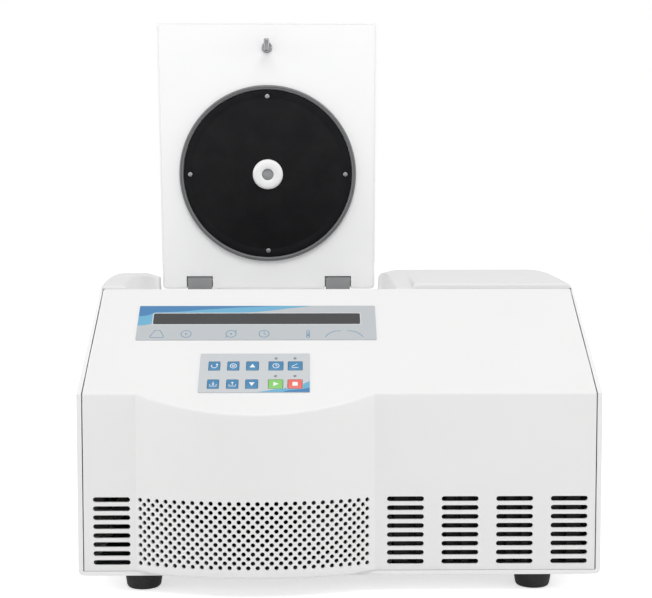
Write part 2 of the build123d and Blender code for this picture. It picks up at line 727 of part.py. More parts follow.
# Refrigeration on the right: condenser behind the slots, fan, and compressor at the back
def make_refrigeration():
    z0 = base_top_z
    x0, x1 = condenser_x - condenser_width / 2, condenser_x + condenser_width / 2
    y0 = face_y + panel_wall + 5
    y1 = y0 + condenser_depth
    core = block(x0, x1, y0, y1, z0, z0 + condenser_height)
    pitch = (condenser_width - 8) / (condenser_fins + 1)
    for k in range(condenser_fins):
        x = x0 + 4 + pitch * (k + 1)
        core -= block(x - fin_gap / 2, x + fin_gap / 2, y0 - 1, y0 + 11, z0 + 8, z0 + condenser_height - 8)
    nodes["condenser"] = core
    fz = z0 + condenser_height / 2
    shroud = block(x0 + 14, x1 - 14, y1, y1 + fan_depth + 6, z0, z0 + condenser_height)
    along = Pos(condenser_x, 0, fz) * Rot(90, 0, 0)
    shroud -= across(condenser_x, fz, y1 - 1, y1 + fan_depth + 9, fan_radius + 4, 32)
    nodes["fan_shroud"] = shroud
    fy0 = y1 + 5
    fan = across(condenser_x, fz, fy0, fy0 + fan_depth, fan_hub_radius, 20)
    blade = Pos(0, (fan_hub_radius + fan_radius) / 2 - 3, 0) * Rot(0, 32, 0) * Box(
        34, fan_radius - fan_hub_radius + 6, 2.5)
    for k in range(fan_blades):
        fan += along * Pos(0, 0, -(fy0 + fan_depth / 2)) * Rot(0, 0, 360 * k / fan_blades) * blade
    motor_y0 = fy0 + fan_depth + 1
    fan -= rod_deep(condenser_x, fz, motor_y0 - 13, motor_y0, fan_shaft_radius + running)
    nodes["fan_rotor"] = fan
    motor = across(condenser_x, fz, motor_y0, motor_y0 + 32, fan_hub_radius + 4, 20)
    motor += rod_deep(condenser_x, fz, motor_y0 - 11, motor_y0, fan_shaft_radius)
    motor += block(x0 + 14, x1 - 14, motor_y0 + 6, motor_y0 + 9, fz - 9, fz + 9)
    for x in (x0 + 14, x1 - 26):
        motor += block(x, x + 12, y1 + fan_depth + 6, motor_y0 + 6, fz - 9, fz + 9)
    nodes["fan_motor"] = motor
    r = compressor_radius
    top = z0 + compressor_height
    body = [(z0 + 8, r - 22), (z0 + 24, r), (top - 34, r), (top - 20, r - 12), (top - 12, r - 34)]
    unit = stack(compressor_x, compressor_y, body, 20)
    unit += block(compressor_x - 62, compressor_x + 62, compressor_y - 50, compressor_y + 50, z0, z0 + 8)
    nodes["compressor"] = unit


# Power electronics on the left wall and the transformer on the base
def make_power():
    x = -half + shell_wall + 4
    z0, z1 = board_z
    board = block(x + 4, x + 6, board_y, board_y + board_length, z0, z1)
    for y in (board_y + 10, board_y + board_length - 10):
        for z in (z0 + 45, z1 - 25):
            board += block(x - 3.5, x + 4, y - 5, y + 5, z - 5, z + 5)
    for along, a, h in ((30, 34, 26), (90, 40, 26), (150, 24, 20), (200, 30, 24)):
        y, z = board_y + along, z0 + 30
        board += block(x + 6, x + 6 + h, y, y + a, z, z + a)
    for k in range(5):
        y = board_y + 20 + 14 * k
        board += block(x + 6, x + 30, y, y + 4, z1 - 80, z1 - 15)
    nodes["power_board"] = board
    z = base_top_z
    core_x, core_y, core_z = transformer_size
    wind_x, wind_y, wind_z = winding_size
    middle = z + core_z / 2
    core = Pos(transformer_x, transformer_y, middle) * Box(core_x, core_y, core_z)
    nodes["transformer"] = core + Pos(transformer_x, transformer_y, middle) * Box(wind_x, wind_y, wind_z)


nodes["outer_shell"] = make_shell()
nodes["front_panel"] = make_front_panel()
make_controls()
nodes["top_cover"] = make_top_cover()
nodes["rear_panel"] = make_rear_panel()
make_rear_fittings()
for side_name, foot_side in (("left", -foot_x), ("right", foot_x)):
    nodes["foot_front_" + side_name] = make_foot(foot_side, -foot_y)
    nodes["foot_rear_" + side_name] = make_foot(foot_side, foot_y)
make_chamber()
make_drive()
make_rotor()
make_lid()
make_lid_fittings()
make_lock()
make_refrigeration()
make_power()

lid_nodes = ("lid_shell", "lid_inner_panel", "lid_core", "lid_liner", "lid_gasket",
             "viewport_ring", "viewport_lens", "liner_screws", "lid_striker")

os.makedirs("parts", exist_ok=True)
for node, shape in nodes.items():
    if node in lid_nodes:
        shape = shape.rotate(hinge_axis, -lid_open_angle)
    export_step(shape, "parts/" + node + ".step")
    print(node, round(shape.volume), "mm3")
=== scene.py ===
# Looks of the bench centrifuge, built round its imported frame.
# Sizes in the dictionaries are millimetres, in the frame's own directions: X right, Y back, Z up.
import json
import math
import bpy
import bmesh
from mathutils import Matrix, Vector
from mathutils.geometry import delaunay_2d_cdt

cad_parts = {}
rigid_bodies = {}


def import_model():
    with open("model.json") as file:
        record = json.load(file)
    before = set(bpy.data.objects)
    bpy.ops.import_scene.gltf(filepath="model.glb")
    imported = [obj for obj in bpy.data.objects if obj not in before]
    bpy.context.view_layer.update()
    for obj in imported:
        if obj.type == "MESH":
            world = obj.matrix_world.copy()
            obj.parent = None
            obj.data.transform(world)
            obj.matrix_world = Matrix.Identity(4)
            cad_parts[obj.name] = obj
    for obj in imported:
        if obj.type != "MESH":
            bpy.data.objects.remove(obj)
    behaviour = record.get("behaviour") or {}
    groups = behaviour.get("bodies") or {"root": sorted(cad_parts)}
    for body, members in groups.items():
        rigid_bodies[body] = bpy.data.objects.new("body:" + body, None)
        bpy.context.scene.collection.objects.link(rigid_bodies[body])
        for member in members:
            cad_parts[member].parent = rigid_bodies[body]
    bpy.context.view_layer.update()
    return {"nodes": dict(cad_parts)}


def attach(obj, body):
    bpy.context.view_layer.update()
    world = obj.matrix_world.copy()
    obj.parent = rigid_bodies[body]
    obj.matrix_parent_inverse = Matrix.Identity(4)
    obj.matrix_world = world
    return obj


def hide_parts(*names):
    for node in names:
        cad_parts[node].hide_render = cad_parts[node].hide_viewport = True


for leftover in list(bpy.data.objects):
    bpy.data.objects.remove(leftover)
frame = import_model()
cadNodes = frame["nodes"]
mm = 0.001
print("frame loaded,", len(cadNodes), "nodes")

case = {
    "faceY": -267.0, "creaseZ": 232.0, "slopeRun": 146.0, "slopeRise": 110.0, "edgeY": -121.0, "edgeZ": 342.0,
    "deckZ": 316.0, "axisX": -96.5, "chamberY": 107.0, "hingeY": 269.0, "hingeZ": 334.0, "lidOpenAngle": 81.2,
}
slopeAngle = math.atan2(case["slopeRise"], case["slopeRun"])
slopeLength = math.hypot(case["slopeRise"], case["slopeRun"])
slopeCos, slopeSin = math.cos(slopeAngle), math.sin(slopeAngle)
chamberAxis = (case["axisX"], case["chamberY"])


# Shader nodes, and the node groups that several finishes share

def addNode(tree, kind, values=(), operation=None, group=None):
    node = tree.nodes.new(kind)
    if kind == "ShaderNodeMix":
        node.data_type = "RGBA"
    if operation:
        node.operation = operation
    if group is not None:
        node.node_tree = group
    setSockets(node, dict(values))
    return node


def setSockets(node, values):
    for socketName, value in values.items():
        node.inputs[socketName].default_value = value


def connect(tree, *wires):
    # each wire: from a node, its output, to a node, its input
    for source, output, target, entry in wires:
        tree.links.new(source.outputs[output], target.inputs[entry])


def startGroup(name, inputs, outputs):
    group = bpy.data.node_groups.new(name, "ShaderNodeTree")
    for socketName, kind, value in inputs:
        socket = group.interface.new_socket(name=socketName, in_out="INPUT", socket_type=kind)
        socket.default_value = value
    for socketName, kind in outputs:
        group.interface.new_socket(name=socketName, in_out="OUTPUT", socket_type=kind)
    return group, group.nodes.new("NodeGroupInput"), group.nodes.new("NodeGroupOutput")


def makeMouldGrain():
    group, given, result = startGroup(
        "mouldGrain",
        [("Grain Size", "NodeSocketFloat", 900.0), ("Depth", "NodeSocketFloat", 1.0)],
        [("Height", "NodeSocketFloat")])
    place = addNode(group, "ShaderNodeTexCoord")
    noise = addNode(group, "ShaderNodeTexNoise", {"Detail": 2.0, "Roughness": 0.45})
    cells = addNode(group, "ShaderNodeTexVoronoi", {"Randomness": 1.0})
    blend = addNode(group, "ShaderNodeMath", {1: 0.35}, "MULTIPLY_ADD")
    scaled = addNode(group, "ShaderNodeMath", {}, "MULTIPLY")
    connect(group, (place, "Object", noise, "Vector"), (place, "Object", cells, "Vector"),
            (given, "Grain Size", noise, "Scale"), (given, "Grain Size", cells, "Scale"),
            (cells, "Distance", blend, 0), (noise, "Fac", blend, 2), (blend, 0, scaled, 0),
            (given, "Depth", scaled, 1), (scaled, 0, result, "Height"))
    return group


def makeHandling():
    # broad, faint unevenness of colour and sheen from cleaning and handling
    group, given, result = startGroup(
        "handling",
        [("Colour", "NodeSocketColor", (0.8, 0.8, 0.8, 1)), ("Soiled Colour", "NodeSocketColor", (0.7, 0.7, 0.7, 1)),
         ("Patch Size", "NodeSocketFloat", 9.0), ("Amount", "NodeSocketFloat", 0.3),
         ("Roughness", "NodeSocketFloat", 0.4), ("Roughness Spread", "NodeSocketFloat", 0.1)],
        [("Colour", "NodeSocketColor"), ("Roughness", "NodeSocketFloat")])
    place = addNode(group, "ShaderNodeTexCoord")
    broad = addNode(group, "ShaderNodeTexNoise", {"Detail": 5.0, "Roughness": 0.6})
    fine = addNode(group, "ShaderNodeTexNoise", {"Scale": 160.0, "Detail": 3.0})
    ramp = addNode(group, "ShaderNodeMapRange", {"From Min": 0.35, "From Max": 0.75})
    amount = addNode(group, "ShaderNodeMath", {}, "MULTIPLY")
    mix = addNode(group, "ShaderNodeMix")
    sheen = addNode(group, "ShaderNodeMath", {1: 0.5}, "SUBTRACT")
    spread = addNode(group, "ShaderNodeMath", {}, "MULTIPLY_ADD")
    connect(group, (place, "Object", broad, "Vector"), (place, "Object", fine, "Vector"),
            (given, "Patch Size", broad, "Scale"), (broad, "Fac", ramp, "Value"), (ramp, "Result", amount, 0),
            (given, "Amount", amount, 1), (amount, 0, mix, "Factor"), (given, "Colour", mix, "A"),
            (given, "Soiled Colour", mix, "B"), (fine, "Fac", sheen, 0), (sheen, 0, spread, 0),
            (given, "Roughness Spread", spread, 1), (given, "Roughness", spread, 2),
            (mix, "Result", result, "Colour"), (spread, 0, result, "Roughness"))
    return group


def makeToolLines():
    # long fine lines of turning, brushing or lamination
    group, given, result = startGroup(
        "toolLines",
        [("Stretch", "NodeSocketVector", (1.0, 1.0, 60.0)), ("Line Size", "NodeSocketFloat", 60.0)],
        [("Mask", "NodeSocketFloat")])
    place = addNode(group, "ShaderNodeTexCoord")
    stretched = addNode(group, "ShaderNodeVectorMath", {}, "MULTIPLY")
    noise = addNode(group, "ShaderNodeTexNoise", {"Detail": 4.0})
    connect(group, (place, "Object", stretched, 0), (given, "Stretch", stretched, 1), (stretched, 0, noise, "Vector"),
            (given, "Line Size", noise, "Scale"), (noise, "Fac", result, "Mask"))
    return group


mouldGrain = makeMouldGrain()
handling = makeHandling()
toolLines = makeToolLines()


# Finishes: what a look leaves out comes from plainLook

plainLook = {
    "amount": 0.3, "patch": 9.0, "spread": 0.08, "grain": 900.0, "bump": 0.12, "bumpDepth": 0.0004, "lineSize": 60.0,
    "metallic": 0.0, "ior": 1.46, "specular": 0.5, "coat": 0.0, "coatRoughness": 0.15, "soiling": 0.93,
}
film = {"roughness": 0.33, "amount": 0.2, "bump": 0.04, "grain": 2200.0}
keyFace = {"roughness": 0.36, "amount": 0.2, "bump": 0.06, "grain": 2200.0}
ink = {"roughness": 0.45, "amount": 0.1, "bump": 0.03}
finishLooks = {
    "casePaint": dict(colour=(0.81, 0.81, 0.81), roughness=0.42, amount=0.25, bump=0.10),
    "panelWhite": dict(colour=(0.785, 0.785, 0.783), roughness=0.44, amount=0.22, bump=0.10, specular=0.35),
    "coverWhite": dict(colour=(0.71, 0.71, 0.71), roughness=0.38, amount=0.25, bump=0.10),
    # painted light: the cover white made lighter for the recess walls, which the lamps leave too dark
    "recessPaintedLight": dict(colour=(0.92, 0.92, 0.92), roughness=0.45, amount=0.2, bump=0.08),
    "lidWhite": dict(colour=(0.89, 0.89, 0.89), roughness=0.44, amount=0.22, bump=0.08, specular=0.35),
    "sheetPaint": dict(colour=(0.94, 0.94, 0.94), roughness=0.35, amount=0.2, bump=0.06, grain=1400.0),
    "overlayGrey": dict(film, colour=(0.465, 0.49, 0.51), amount=0.15, bump=0.05),
    "keypadGrey": dict(film, colour=(0.535, 0.56, 0.58), roughness=0.36, amount=0.15, bump=0.05),
    "bandBlue": dict(film, colour=(0.06, 0.20, 0.41)),
    "bandPale": dict(film, colour=(0.14, 0.39, 0.57)),
    "keyBlue": dict(keyFace, colour=(0.052, 0.21, 0.40)),
    "keyGreen": dict(keyFace, colour=(0.215, 0.54, 0.135)),
    "keyRed": dict(keyFace, colour=(0.73, 0.15, 0.12)),
    "printWhite": dict(ink, colour=(0.82, 0.83, 0.83)),
    "printPale": dict(ink, colour=(0.66, 0.68, 0.69)),
    "printBlue": dict(ink, colour=(0.10, 0.24, 0.36)),
    "windowDark": dict(colour=(0.023, 0.023, 0.024), soiled=(0.048, 0.048, 0.050), roughness=0.12, spread=0.04,
                       amount=0.9, patch=5.0, bump=0.01, coat=0.25),
    "ledGrey": dict(colour=(0.20, 0.22, 0.23), roughness=0.2, amount=0.2, bump=0.02, coat=0.5),
    "gasketGrey": dict(colour=(0.17, 0.17, 0.175), roughness=0.6, amount=0.4, bump=0.15),
    "linerBlack": dict(colour=(0.006, 0.006, 0.007), soiled=(0.014, 0.014, 0.015), roughness=0.62, amount=0.6,
                       patch=30.0, grain=1100.0, bump=0.35, specular=0.12),
    "blackPlastic": dict(colour=(0.018, 0.018, 0.02), soiled=(0.035, 0.035, 0.037), roughness=0.45, bump=0.15),
    "footRubber": dict(colour=(0.013, 0.013, 0.014), soiled=(0.045, 0.044, 0.042), roughness=0.68, amount=0.6,
                       patch=26.0, bump=0.3, grain=700.0, specular=0.3),
    "foamBeige": dict(colour=(0.58, 0.49, 0.30), roughness=0.85, amount=0.6, bump=0.6, grain=350.0, bumpDepth=0.001),
    "boardGreen": dict(colour=(0.02, 0.13, 0.05), roughness=0.4, amount=0.4, bump=0.1, coat=0.2),
    "bowlSteel": dict(colour=(0.74, 0.745, 0.75), roughness=0.4, metallic=1.0, bump=0.02,
                      stretch=(1.0, 1.0, 45.0), lineSize=30.0),
    "zincSteel": dict(colour=(0.50, 0.51, 0.53), soiled=(0.40, 0.41, 0.42), roughness=0.42, metallic=1.0,
                      amount=0.7, patch=35.0, bump=0.1),
    "turnedSteel": dict(colour=(0.58, 0.58, 0.59), roughness=0.24, metallic=1.0, bump=0.06,
                        stretch=(1.0, 1.0, 60.0), lineSize=90.0),
    "hingeSteel": dict(colour=(0.30, 0.305, 0.31), roughness=0.42, metallic=0.4, amount=0.4),
    "strikerChrome": dict(colour=(0.25, 0.25, 0.26), roughness=0.28, metallic=1.0, bump=0.02,
                          stretch=(1.0, 1.0, 40.0), lineSize=120.0),
    "screwSteel": dict(colour=(0.30, 0.30, 0.31), roughness=0.42, metallic=1.0, bump=0.05),
    "rotorAluminium": dict(colour=(0.47, 0.48, 0.50), roughness=0.3, metallic=1.0, amount=0.4, bump=0.07,
                           stretch=(1.0, 1.0, 70.0), lineSize=80.0),
    # black paint on the condenser fins, also painted shade for the dark inside behind the front slots
    "finBlackAndShade": dict(colour=(0.012, 0.012, 0.013), roughness=0.55, specular=0.25, amount=0.5, bump=0.25,
                     stretch=(40.0, 1.0, 1.0)),
    "motorBlack": dict(colour=(0.022, 0.022, 0.025), soiled=(0.05, 0.05, 0.05), roughness=0.4, amount=0.5,
                       bump=0.15, coat=0.15),
    # dark grey paint of the solenoid and fan shroud; on the base plate it is painted shade for the dark inside of the
    # case seen through the grille
    "coilGreyAndPaintedShade": dict(colour=(0.06, 0.065, 0.07), soiled=(0.10, 0.10, 0.11), roughness=0.4, amount=0.5, bump=0.1),
    "coreIron": dict(colour=(0.05, 0.05, 0.052), roughness=0.5, metallic=0.6, bump=0.3,
                     stretch=(1.0, 1.0, 90.0), lineSize=30.0),
}
lensLook = {
    "Colour": (0.37, 0.38, 0.385, 1), "Soiled Colour": (0.31, 0.32, 0.325, 1), "Patch Size": 60.0,
    "Amount": 0.5, "Roughness": 0.12, "Roughness Spread": 0.08,
}


def startMaterial(name):
    material = bpy.data.materials.new(name)
    material.use_nodes = True
    return material, material.node_tree, material.node_tree.nodes["Principled BSDF"]


def makeFinish(name, given):
    # one painted, moulded, rubber or metal finish
    look = {**plainLook, **given}
    material, tree, shader = startMaterial(name)
    soiled = look.get("soiled", [c * look["soiling"] for c in look["colour"]])
    wear = addNode(tree, "ShaderNodeGroup", {
        "Colour": (*look["colour"], 1.0), "Soiled Colour": (*soiled, 1.0), "Patch Size": look["patch"],
        "Amount": look["amount"], "Roughness": look["roughness"], "Roughness Spread": look["spread"]}, group=handling)
    grain = addNode(tree, "ShaderNodeGroup", {"Grain Size": look["grain"], "Depth": 1.0}, group=mouldGrain)
    bump = addNode(tree, "ShaderNodeBump", {"Strength": look["bump"], "Distance": look["bumpDepth"]})
    connect(tree, (wear, "Colour", shader, "Base Color"), (wear, "Roughness", shader, "Roughness"),
            (bump, "Normal", shader, "Normal"))
    if "stretch" in look:
        lines = addNode(tree, "ShaderNodeGroup", {"Stretch": look["stretch"], "Line Size": look["lineSize"]},
                        group=toolLines)
        add = addNode(tree, "ShaderNodeMath", {}, "ADD")
        connect(tree, (grain, "Height", add, 0), (lines, "Mask", add, 1), (add, 0, bump, "Height"))
    else:
        connect(tree, (grain, "Height", bump, "Height"))
    setSockets(shader, {
        "Metallic": look["metallic"], "IOR": look["ior"], "Specular IOR Level": look["specular"],
        "Coat Weight": look["coat"], "Coat Roughness": look["coatRoughness"]})
    return material


def makeLensGlass():
    material, tree, shader = startMaterial("lensGlass")
    wear = addNode(tree, "ShaderNodeGroup", lensLook, group=handling)
    connect(tree, (wear, "Colour", shader, "Base Color"), (wear, "Roughness", shader, "Roughness"))
    setSockets(shader, {"Transmission Weight": 0.35, "IOR": 1.49})
    return material


finishes = {name: makeFinish(name, look) for name, look in finishLooks.items()}
finishes["lensGlass"] = makeLensGlass()
print("finishes made,", len(finishes))


# Mesh helpers: each adds to a bmesh, and finishPiece turns that into an object

def onSlope(x, s, h):
    # s runs up the slope from the crease, h stands off it
    return (x, case["faceY"] + s * slopeCos - h * slopeSin, case["creaseZ"] + s * slopeSin + h * slopeCos)


def lying(u, v, h):
    return (u, v, h)


def shifted(points, x, y):
    return [(x + a, y + b) for a, b in points]


def roundedLoop(x0, x1, y0, y1, radius, steps=5):
    loop = []
    for cx, cy, start in ((x1 - radius, y0 + radius, -90), (x1 - radius, y1 - radius, 0),
                          (x0 + radius, y1 - radius, 90), (x0 + radius, y0 + radius, 180)):
        for k in range(steps + 1):
            angle = math.radians(start + 90 * k / steps)
            loop.append((cx + radius * math.cos(angle), cy + radius * math.sin(angle)))
    return loop


def circleLoop(x, y, radius, steps):
    return [(x + radius * math.cos(2 * math.pi * k / steps), y + radius * math.sin(2 * math.pi * k / steps))
            for k in range(steps)]


def arcLine(radius, start, end, steps):
    angles = [math.radians(start + (end - start) * k / steps) for k in range(steps + 1)]
    return [(radius * math.cos(angle), radius * math.sin(angle)) for angle in angles]


def insideLoop(point, loop):
    x, y = point
    found = False
    for (x0, y0), (x1, y1) in zip(loop, loop[1:] + loop[:1]):
        if (y0 > y) != (y1 > y) and x < (x1 - x0) * (y - y0) / (y1 - y0) + x0:
            found = not found
    return found


def addSheet(bm, outline, holes, low, high, place, lines=(), dots=()):
    # a sheet with holes; place(u, v, h) puts it in the frame, with h from low to high along its normal
    points, edges = [], []
    for loop in [outline] + list(holes):
        start, count = len(points), len(loop)
        points += [Vector(p) for p in loop]
        edges += [(start + i, start + (i + 1) % count) for i in range(count)]
    for line in lines:
        start = len(points)
        points += [Vector(p) for p in line]
        edges += [(start + i, start + i + 1) for i in range(len(line) - 1)]
    points += [Vector(p) for p in dots]
    flat, _, triangles = delaunay_2d_cdt(points, edges, [], 0, 1e-4)[:3]
    boxes = [(min(p[0] for p in h), max(p[0] for p in h), min(p[1] for p in h), max(p[1] for p in h)) for h in holes]
    kept = []
    for triangle in triangles:
        middle = sum((flat[i] for i in triangle), Vector((0, 0))) / len(triangle)
        if not insideLoop(middle, outline):
            continue
        for hole, (x0, x1, y0, y1) in zip(holes, boxes):
            if x0 < middle.x < x1 and y0 < middle.y < y1 and insideLoop(middle, hole):
                break
        else:
            kept.append(triangle)
    used = sorted({i for triangle in kept for i in triangle})
    top = {i: bm.verts.new(place(flat[i].x, flat[i].y, high)) for i in used}
    bottom = {i: bm.verts.new(place(flat[i].x, flat[i].y, low)) for i in used}
    for triangle in kept:
        bm.faces.new([top[i] for i in triangle])
        bm.faces.new([bottom[i] for i in reversed(triangle)])
    sides = dict.fromkeys(side for triangle in kept for side in zip(triangle, triangle[1:] + triangle[:1]))
    for a, b in sides:
        if (b, a) not in sides:
            bm.faces.new([top[b], top[a], bottom[a], bottom[b]])


def joinRings(bm, rings, capped=True):
    # walls between rings of one count, each with its place in the ring, and a face over both ends
    walls = []
    for a, b in zip(rings, rings[1:]):
        for k in range(len(a)):
            n = (k + 1) % len(a)
            walls.append((k, bm.faces.new([a[k], a[n], b[n], b[k]])))
    if capped:
        bm.faces.new(rings[0])
        bm.faces.new(list(reversed(rings[-1])))
    return walls


def addTurned(bm, profile, centre, steps, matrix=None, wobble=None):
    # a turned shape about an upright axis, from radius and height pairs
    rings = []
    for radius, z in profile:
        if radius < 1e-6:
            rings.append([bm.verts.new((centre[0], centre[1], z))])
            continue
        ring = []
        for k in range(steps):
            angle = 2 * math.pi * k / steps
            r = radius + (wobble(angle, radius, z) if wobble else 0)
            ring.append(bm.verts.new((centre[0] + r * math.cos(angle), centre[1] + r * math.sin(angle), z)))
        rings.append(ring)
    for a, b in zip(rings, rings[1:] + rings[:1]):
        if len(a) == 1 and len(b) == 1:
            continue
        for k in range(steps):
            n = (k + 1) % steps
            corners = [a[0]] if len(a) == 1 else [a[k], a[n]]
            corners += [b[0]] if len(b) == 1 else [b[n], b[k]]
            bm.faces.new(corners)
    if matrix is not None:
        bmesh.ops.transform(bm, matrix=matrix, verts=[v for ring in rings for v in ring])


def addBlock(bm, low, high, rounding=0.0, steps=2):
    low, high = Vector(low), Vector(high)
    corners = bmesh.ops.create_cube(bm, size=1.0)["verts"]
    for v in corners:
        v.co = v.co * (high - low) + (high + low) / 2
    if rounding:
        edges = list(dict.fromkeys(e for v in corners for e in v.link_edges))
        bmesh.ops.bevel(bm, geom=edges, offset=rounding, segments=steps, profile=0.5, affect="EDGES")


def addRaised(bm, outline, low, high, rounding):
    # an outline raised on the slope, with its top edge rounded inwards
    centre = sum((Vector(p) for p in outline), Vector((0, 0))) / len(outline)
    rings = []
    for inset, h in ((0.0, low), (0.0, high - rounding), (rounding * 0.3, high - rounding * 0.3), (rounding, high)):
        ring = []
        for p in outline:
            away = Vector(p) - centre
            q = centre + away * max(0.0, 1 - inset / max(away.length, 1e-6))
            ring.append(bm.verts.new(onSlope(q.x, q.y, h)))
        rings.append(ring)
    joinRings(bm, rings)


def addRibbon(bm, line, width, low, high, closed=False):
    # a printed line of even width, slightly raised on the slope
    points = [Vector(p) for p in line]
    count = len(points)
    rings = []
    for i, point in enumerate(points):
        before = points[i - 1] if closed or i > 0 else point
        after = points[(i + 1) % count] if closed or i < count - 1 else point
        way = (after - before).normalized()
        side = Vector((-way.y, way.x)) * (width / 2)
        left, right = point + side, point - side
        rings.append([bm.verts.new(onSlope(q.x, q.y, h)) for q, h in (
            (left, low), (left, high), (right, high), (right, low))])
    joinRings(bm, rings + rings[:1] if closed else rings, capped=not closed)


def finishPiece(bm, name, body, finishNames, slotName, stands=(), sharp=40, matrix=None):
    bmesh.ops.remove_doubles(bm, verts=bm.verts, dist=0.002)
    if matrix is not None:
        bmesh.ops.transform(bm, matrix=matrix, verts=bm.verts)
    bmesh.ops.scale(bm, vec=(mm, mm, mm), verts=bm.verts)
    bmesh.ops.recalc_face_normals(bm, faces=bm.faces)
    mesh = bpy.data.meshes.new(name)
    bm.to_mesh(mesh)
    bm.free()
    mesh.shade_smooth()
    mesh.set_sharp_from_angle(angle=math.radians(sharp))
    for finishName in finishNames:
        mesh.materials.append(finishes[finishName])
    piece = bpy.data.objects.new(name, mesh)
    bpy.context.scene.collection.objects.link(piece)
    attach(piece, body)
    if stands:
        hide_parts(*stands)
    return piece


def turnedPiece(name, profile, steps, body, finish, slotName, node, centres=(chamberAxis,), wobble=None, **more):
    # a whole piece turned about the chamber's axis, or about each of the centres
    bm = bmesh.new()
    for centre in centres:
        addTurned(bm, profile, centre, steps, wobble=wobble)
    return finishPiece(bm, name, body, [finish], slotName, [node], **more)


def slopeSheet(name, outline, holes, low, high, finish, slotName, stands=()):
    # a whole flat piece on the slope
    bm = bmesh.new()
    addSheet(bm, outline, holes, low, high, onSlope)
    finishPiece(bm, name, "chassis", [finish], slotName, stands)


def joinedName(name):
    return "".join(word.capitalize() for word in name.split("_"))


# Front panel: bowed face, soft crease, slope and a narrow top lip, with every slot and hole

frontPanel = {
    "half": 293.3, "topHalf": 289.6, "bottomZ": 27.2, "bowDrop": 2.0, "wall": 3.0, "edgeRound": 1.0,
    "bowX": -96.5, "bowHalf": 136.6, "bowDepth": 27.0, "creaseRadius": 5.0, "creaseReach": 2.5,
    "slotColumns": (-261.2, 75.0, 137.7, 200.4, 263.1), "slotTop": 110.2, "slotPitch": 10.4, "slotRows": 8,
    "slotLength": 42.5, "slotHeight": 5.9,
    "holeRadius": 2.6, "holeSides": 16, "holePitch": 5.312, "holeReach": 25, "holeShift": -2.3,
    "holeRows": 15, "holeTop": 110.4, "holeRowPitch": 5.225, "grilleLow": 32.6, "grilleHigh": 116.2,
    "window": (-221.0, 24.4, 119.4, 134.8), "windowCorner": 2.0,
    "keyColumns": ((-151.8, -138.8), (-129.9, -116.6), (-108.0, -94.0), (-82.0, -65.4), (-59.6, -43.2)),
    "keyRows": ((37.4, 51.9), (7.4, 22.0)), "keyGap": 0.4, "keyHoleCorner": 1.2,
    # mesh lines that keep the shading even: levels below and above the crease, columns and uprights
    "lowLevels": (60, 100, 140, 180), "highLevels": (280, 330, 380), "plainColumns": (-285, -240, 45, 120, 200, 285),
    "uprightLevels": (60, 90, 116.2, 150, 180, 205), "besideBow": (-1.5, -0.5, 0.5, 1.5, 4.0, -4.0),
}
bowRadius = (frontPanel["bowHalf"] ** 2 + frontPanel["bowDepth"] ** 2) / (2 * frontPanel["bowDepth"])
bowCentreY = case["faceY"] - frontPanel["bowDepth"] + bowRadius
creaseV = case["creaseZ"]
topV = creaseV + slopeLength
# rows past the slope: V, Y, Z, and the normal's Y and Z
panelTopRows = [
    (topV - 1.2, case["edgeY"] - 0.96, case["edgeZ"] - 0.72, -slopeSin, slopeCos),
    (topV, case["edgeY"] + 0.02, case["edgeZ"] - 0.18, -math.sin(slopeAngle / 2), math.cos(slopeAngle / 2)),
    (topV + 1.2, case["edgeY"] + 1.2, case["edgeZ"], 0.0, 1.0),
    (topV + 3.0, case["edgeY"] + 3.0, case["edgeZ"], 0.0, 1.0),
    (topV + 3.6, case["edgeY"] + 3.7, case["edgeZ"] - 0.3, 0.707, 0.707),
    (topV + 4.2, case["edgeY"] + 4.0, case["edgeZ"] - 1.0, 1.0, 0.0),
    (topV + 26.0, case["edgeY"] + 4.0, case["edgeZ"] - 22.8, 1.0, 0.0),
]


def bowAngle(x):
    away = x - frontPanel["bowX"]
    if abs(away) >= frontPanel["bowHalf"]:
        return 0.0
    return math.asin(away / bowRadius)


def faceYAt(x):
    if abs(x - frontPanel["bowX"]) >= frontPanel["bowHalf"]:
        return case["faceY"]
    return bowCentreY - bowRadius * math.cos(bowAngle(x))


def bowXAt(along):
    # X at this distance along the bow from its middle
    return frontPanel["bowX"] + bowRadius * math.sin(along / bowRadius)


def creaseVAt(x):
    return creaseV + (faceYAt(x) - case["faceY"]) / slopeCos


def bottomZAt(x):
    # the bow hangs a little over the shell's rim
    share = min(max((case["faceY"] - faceYAt(x) - 3.0) / 8.0, 0.0), 1.0)
    return frontPanel["bottomZ"] - frontPanel["bowDrop"] * share * share * (3 - 2 * share)


def faceScale(x):
    # how much Z a step of V is worth on the face below the crease at this X
    creaseZ = case["creaseZ"] + (faceYAt(x) - case["faceY"]) * slopeSin / slopeCos
    reach = frontPanel["creaseReach"]
    return (creaseZ - reach - bottomZAt(x)) / (creaseVAt(x) - reach - frontPanel["bottomZ"])


def panelVAt(x, z):
    return frontPanel["bottomZ"] + (z - bottomZAt(x)) / faceScale(x)


def panelHalfAt(v):
    share = min(max((v - creaseV) / slopeLength, 0.0), 1.0)
    return frontPanel["half"] + share * (frontPanel["topHalf"] - frontPanel["half"])


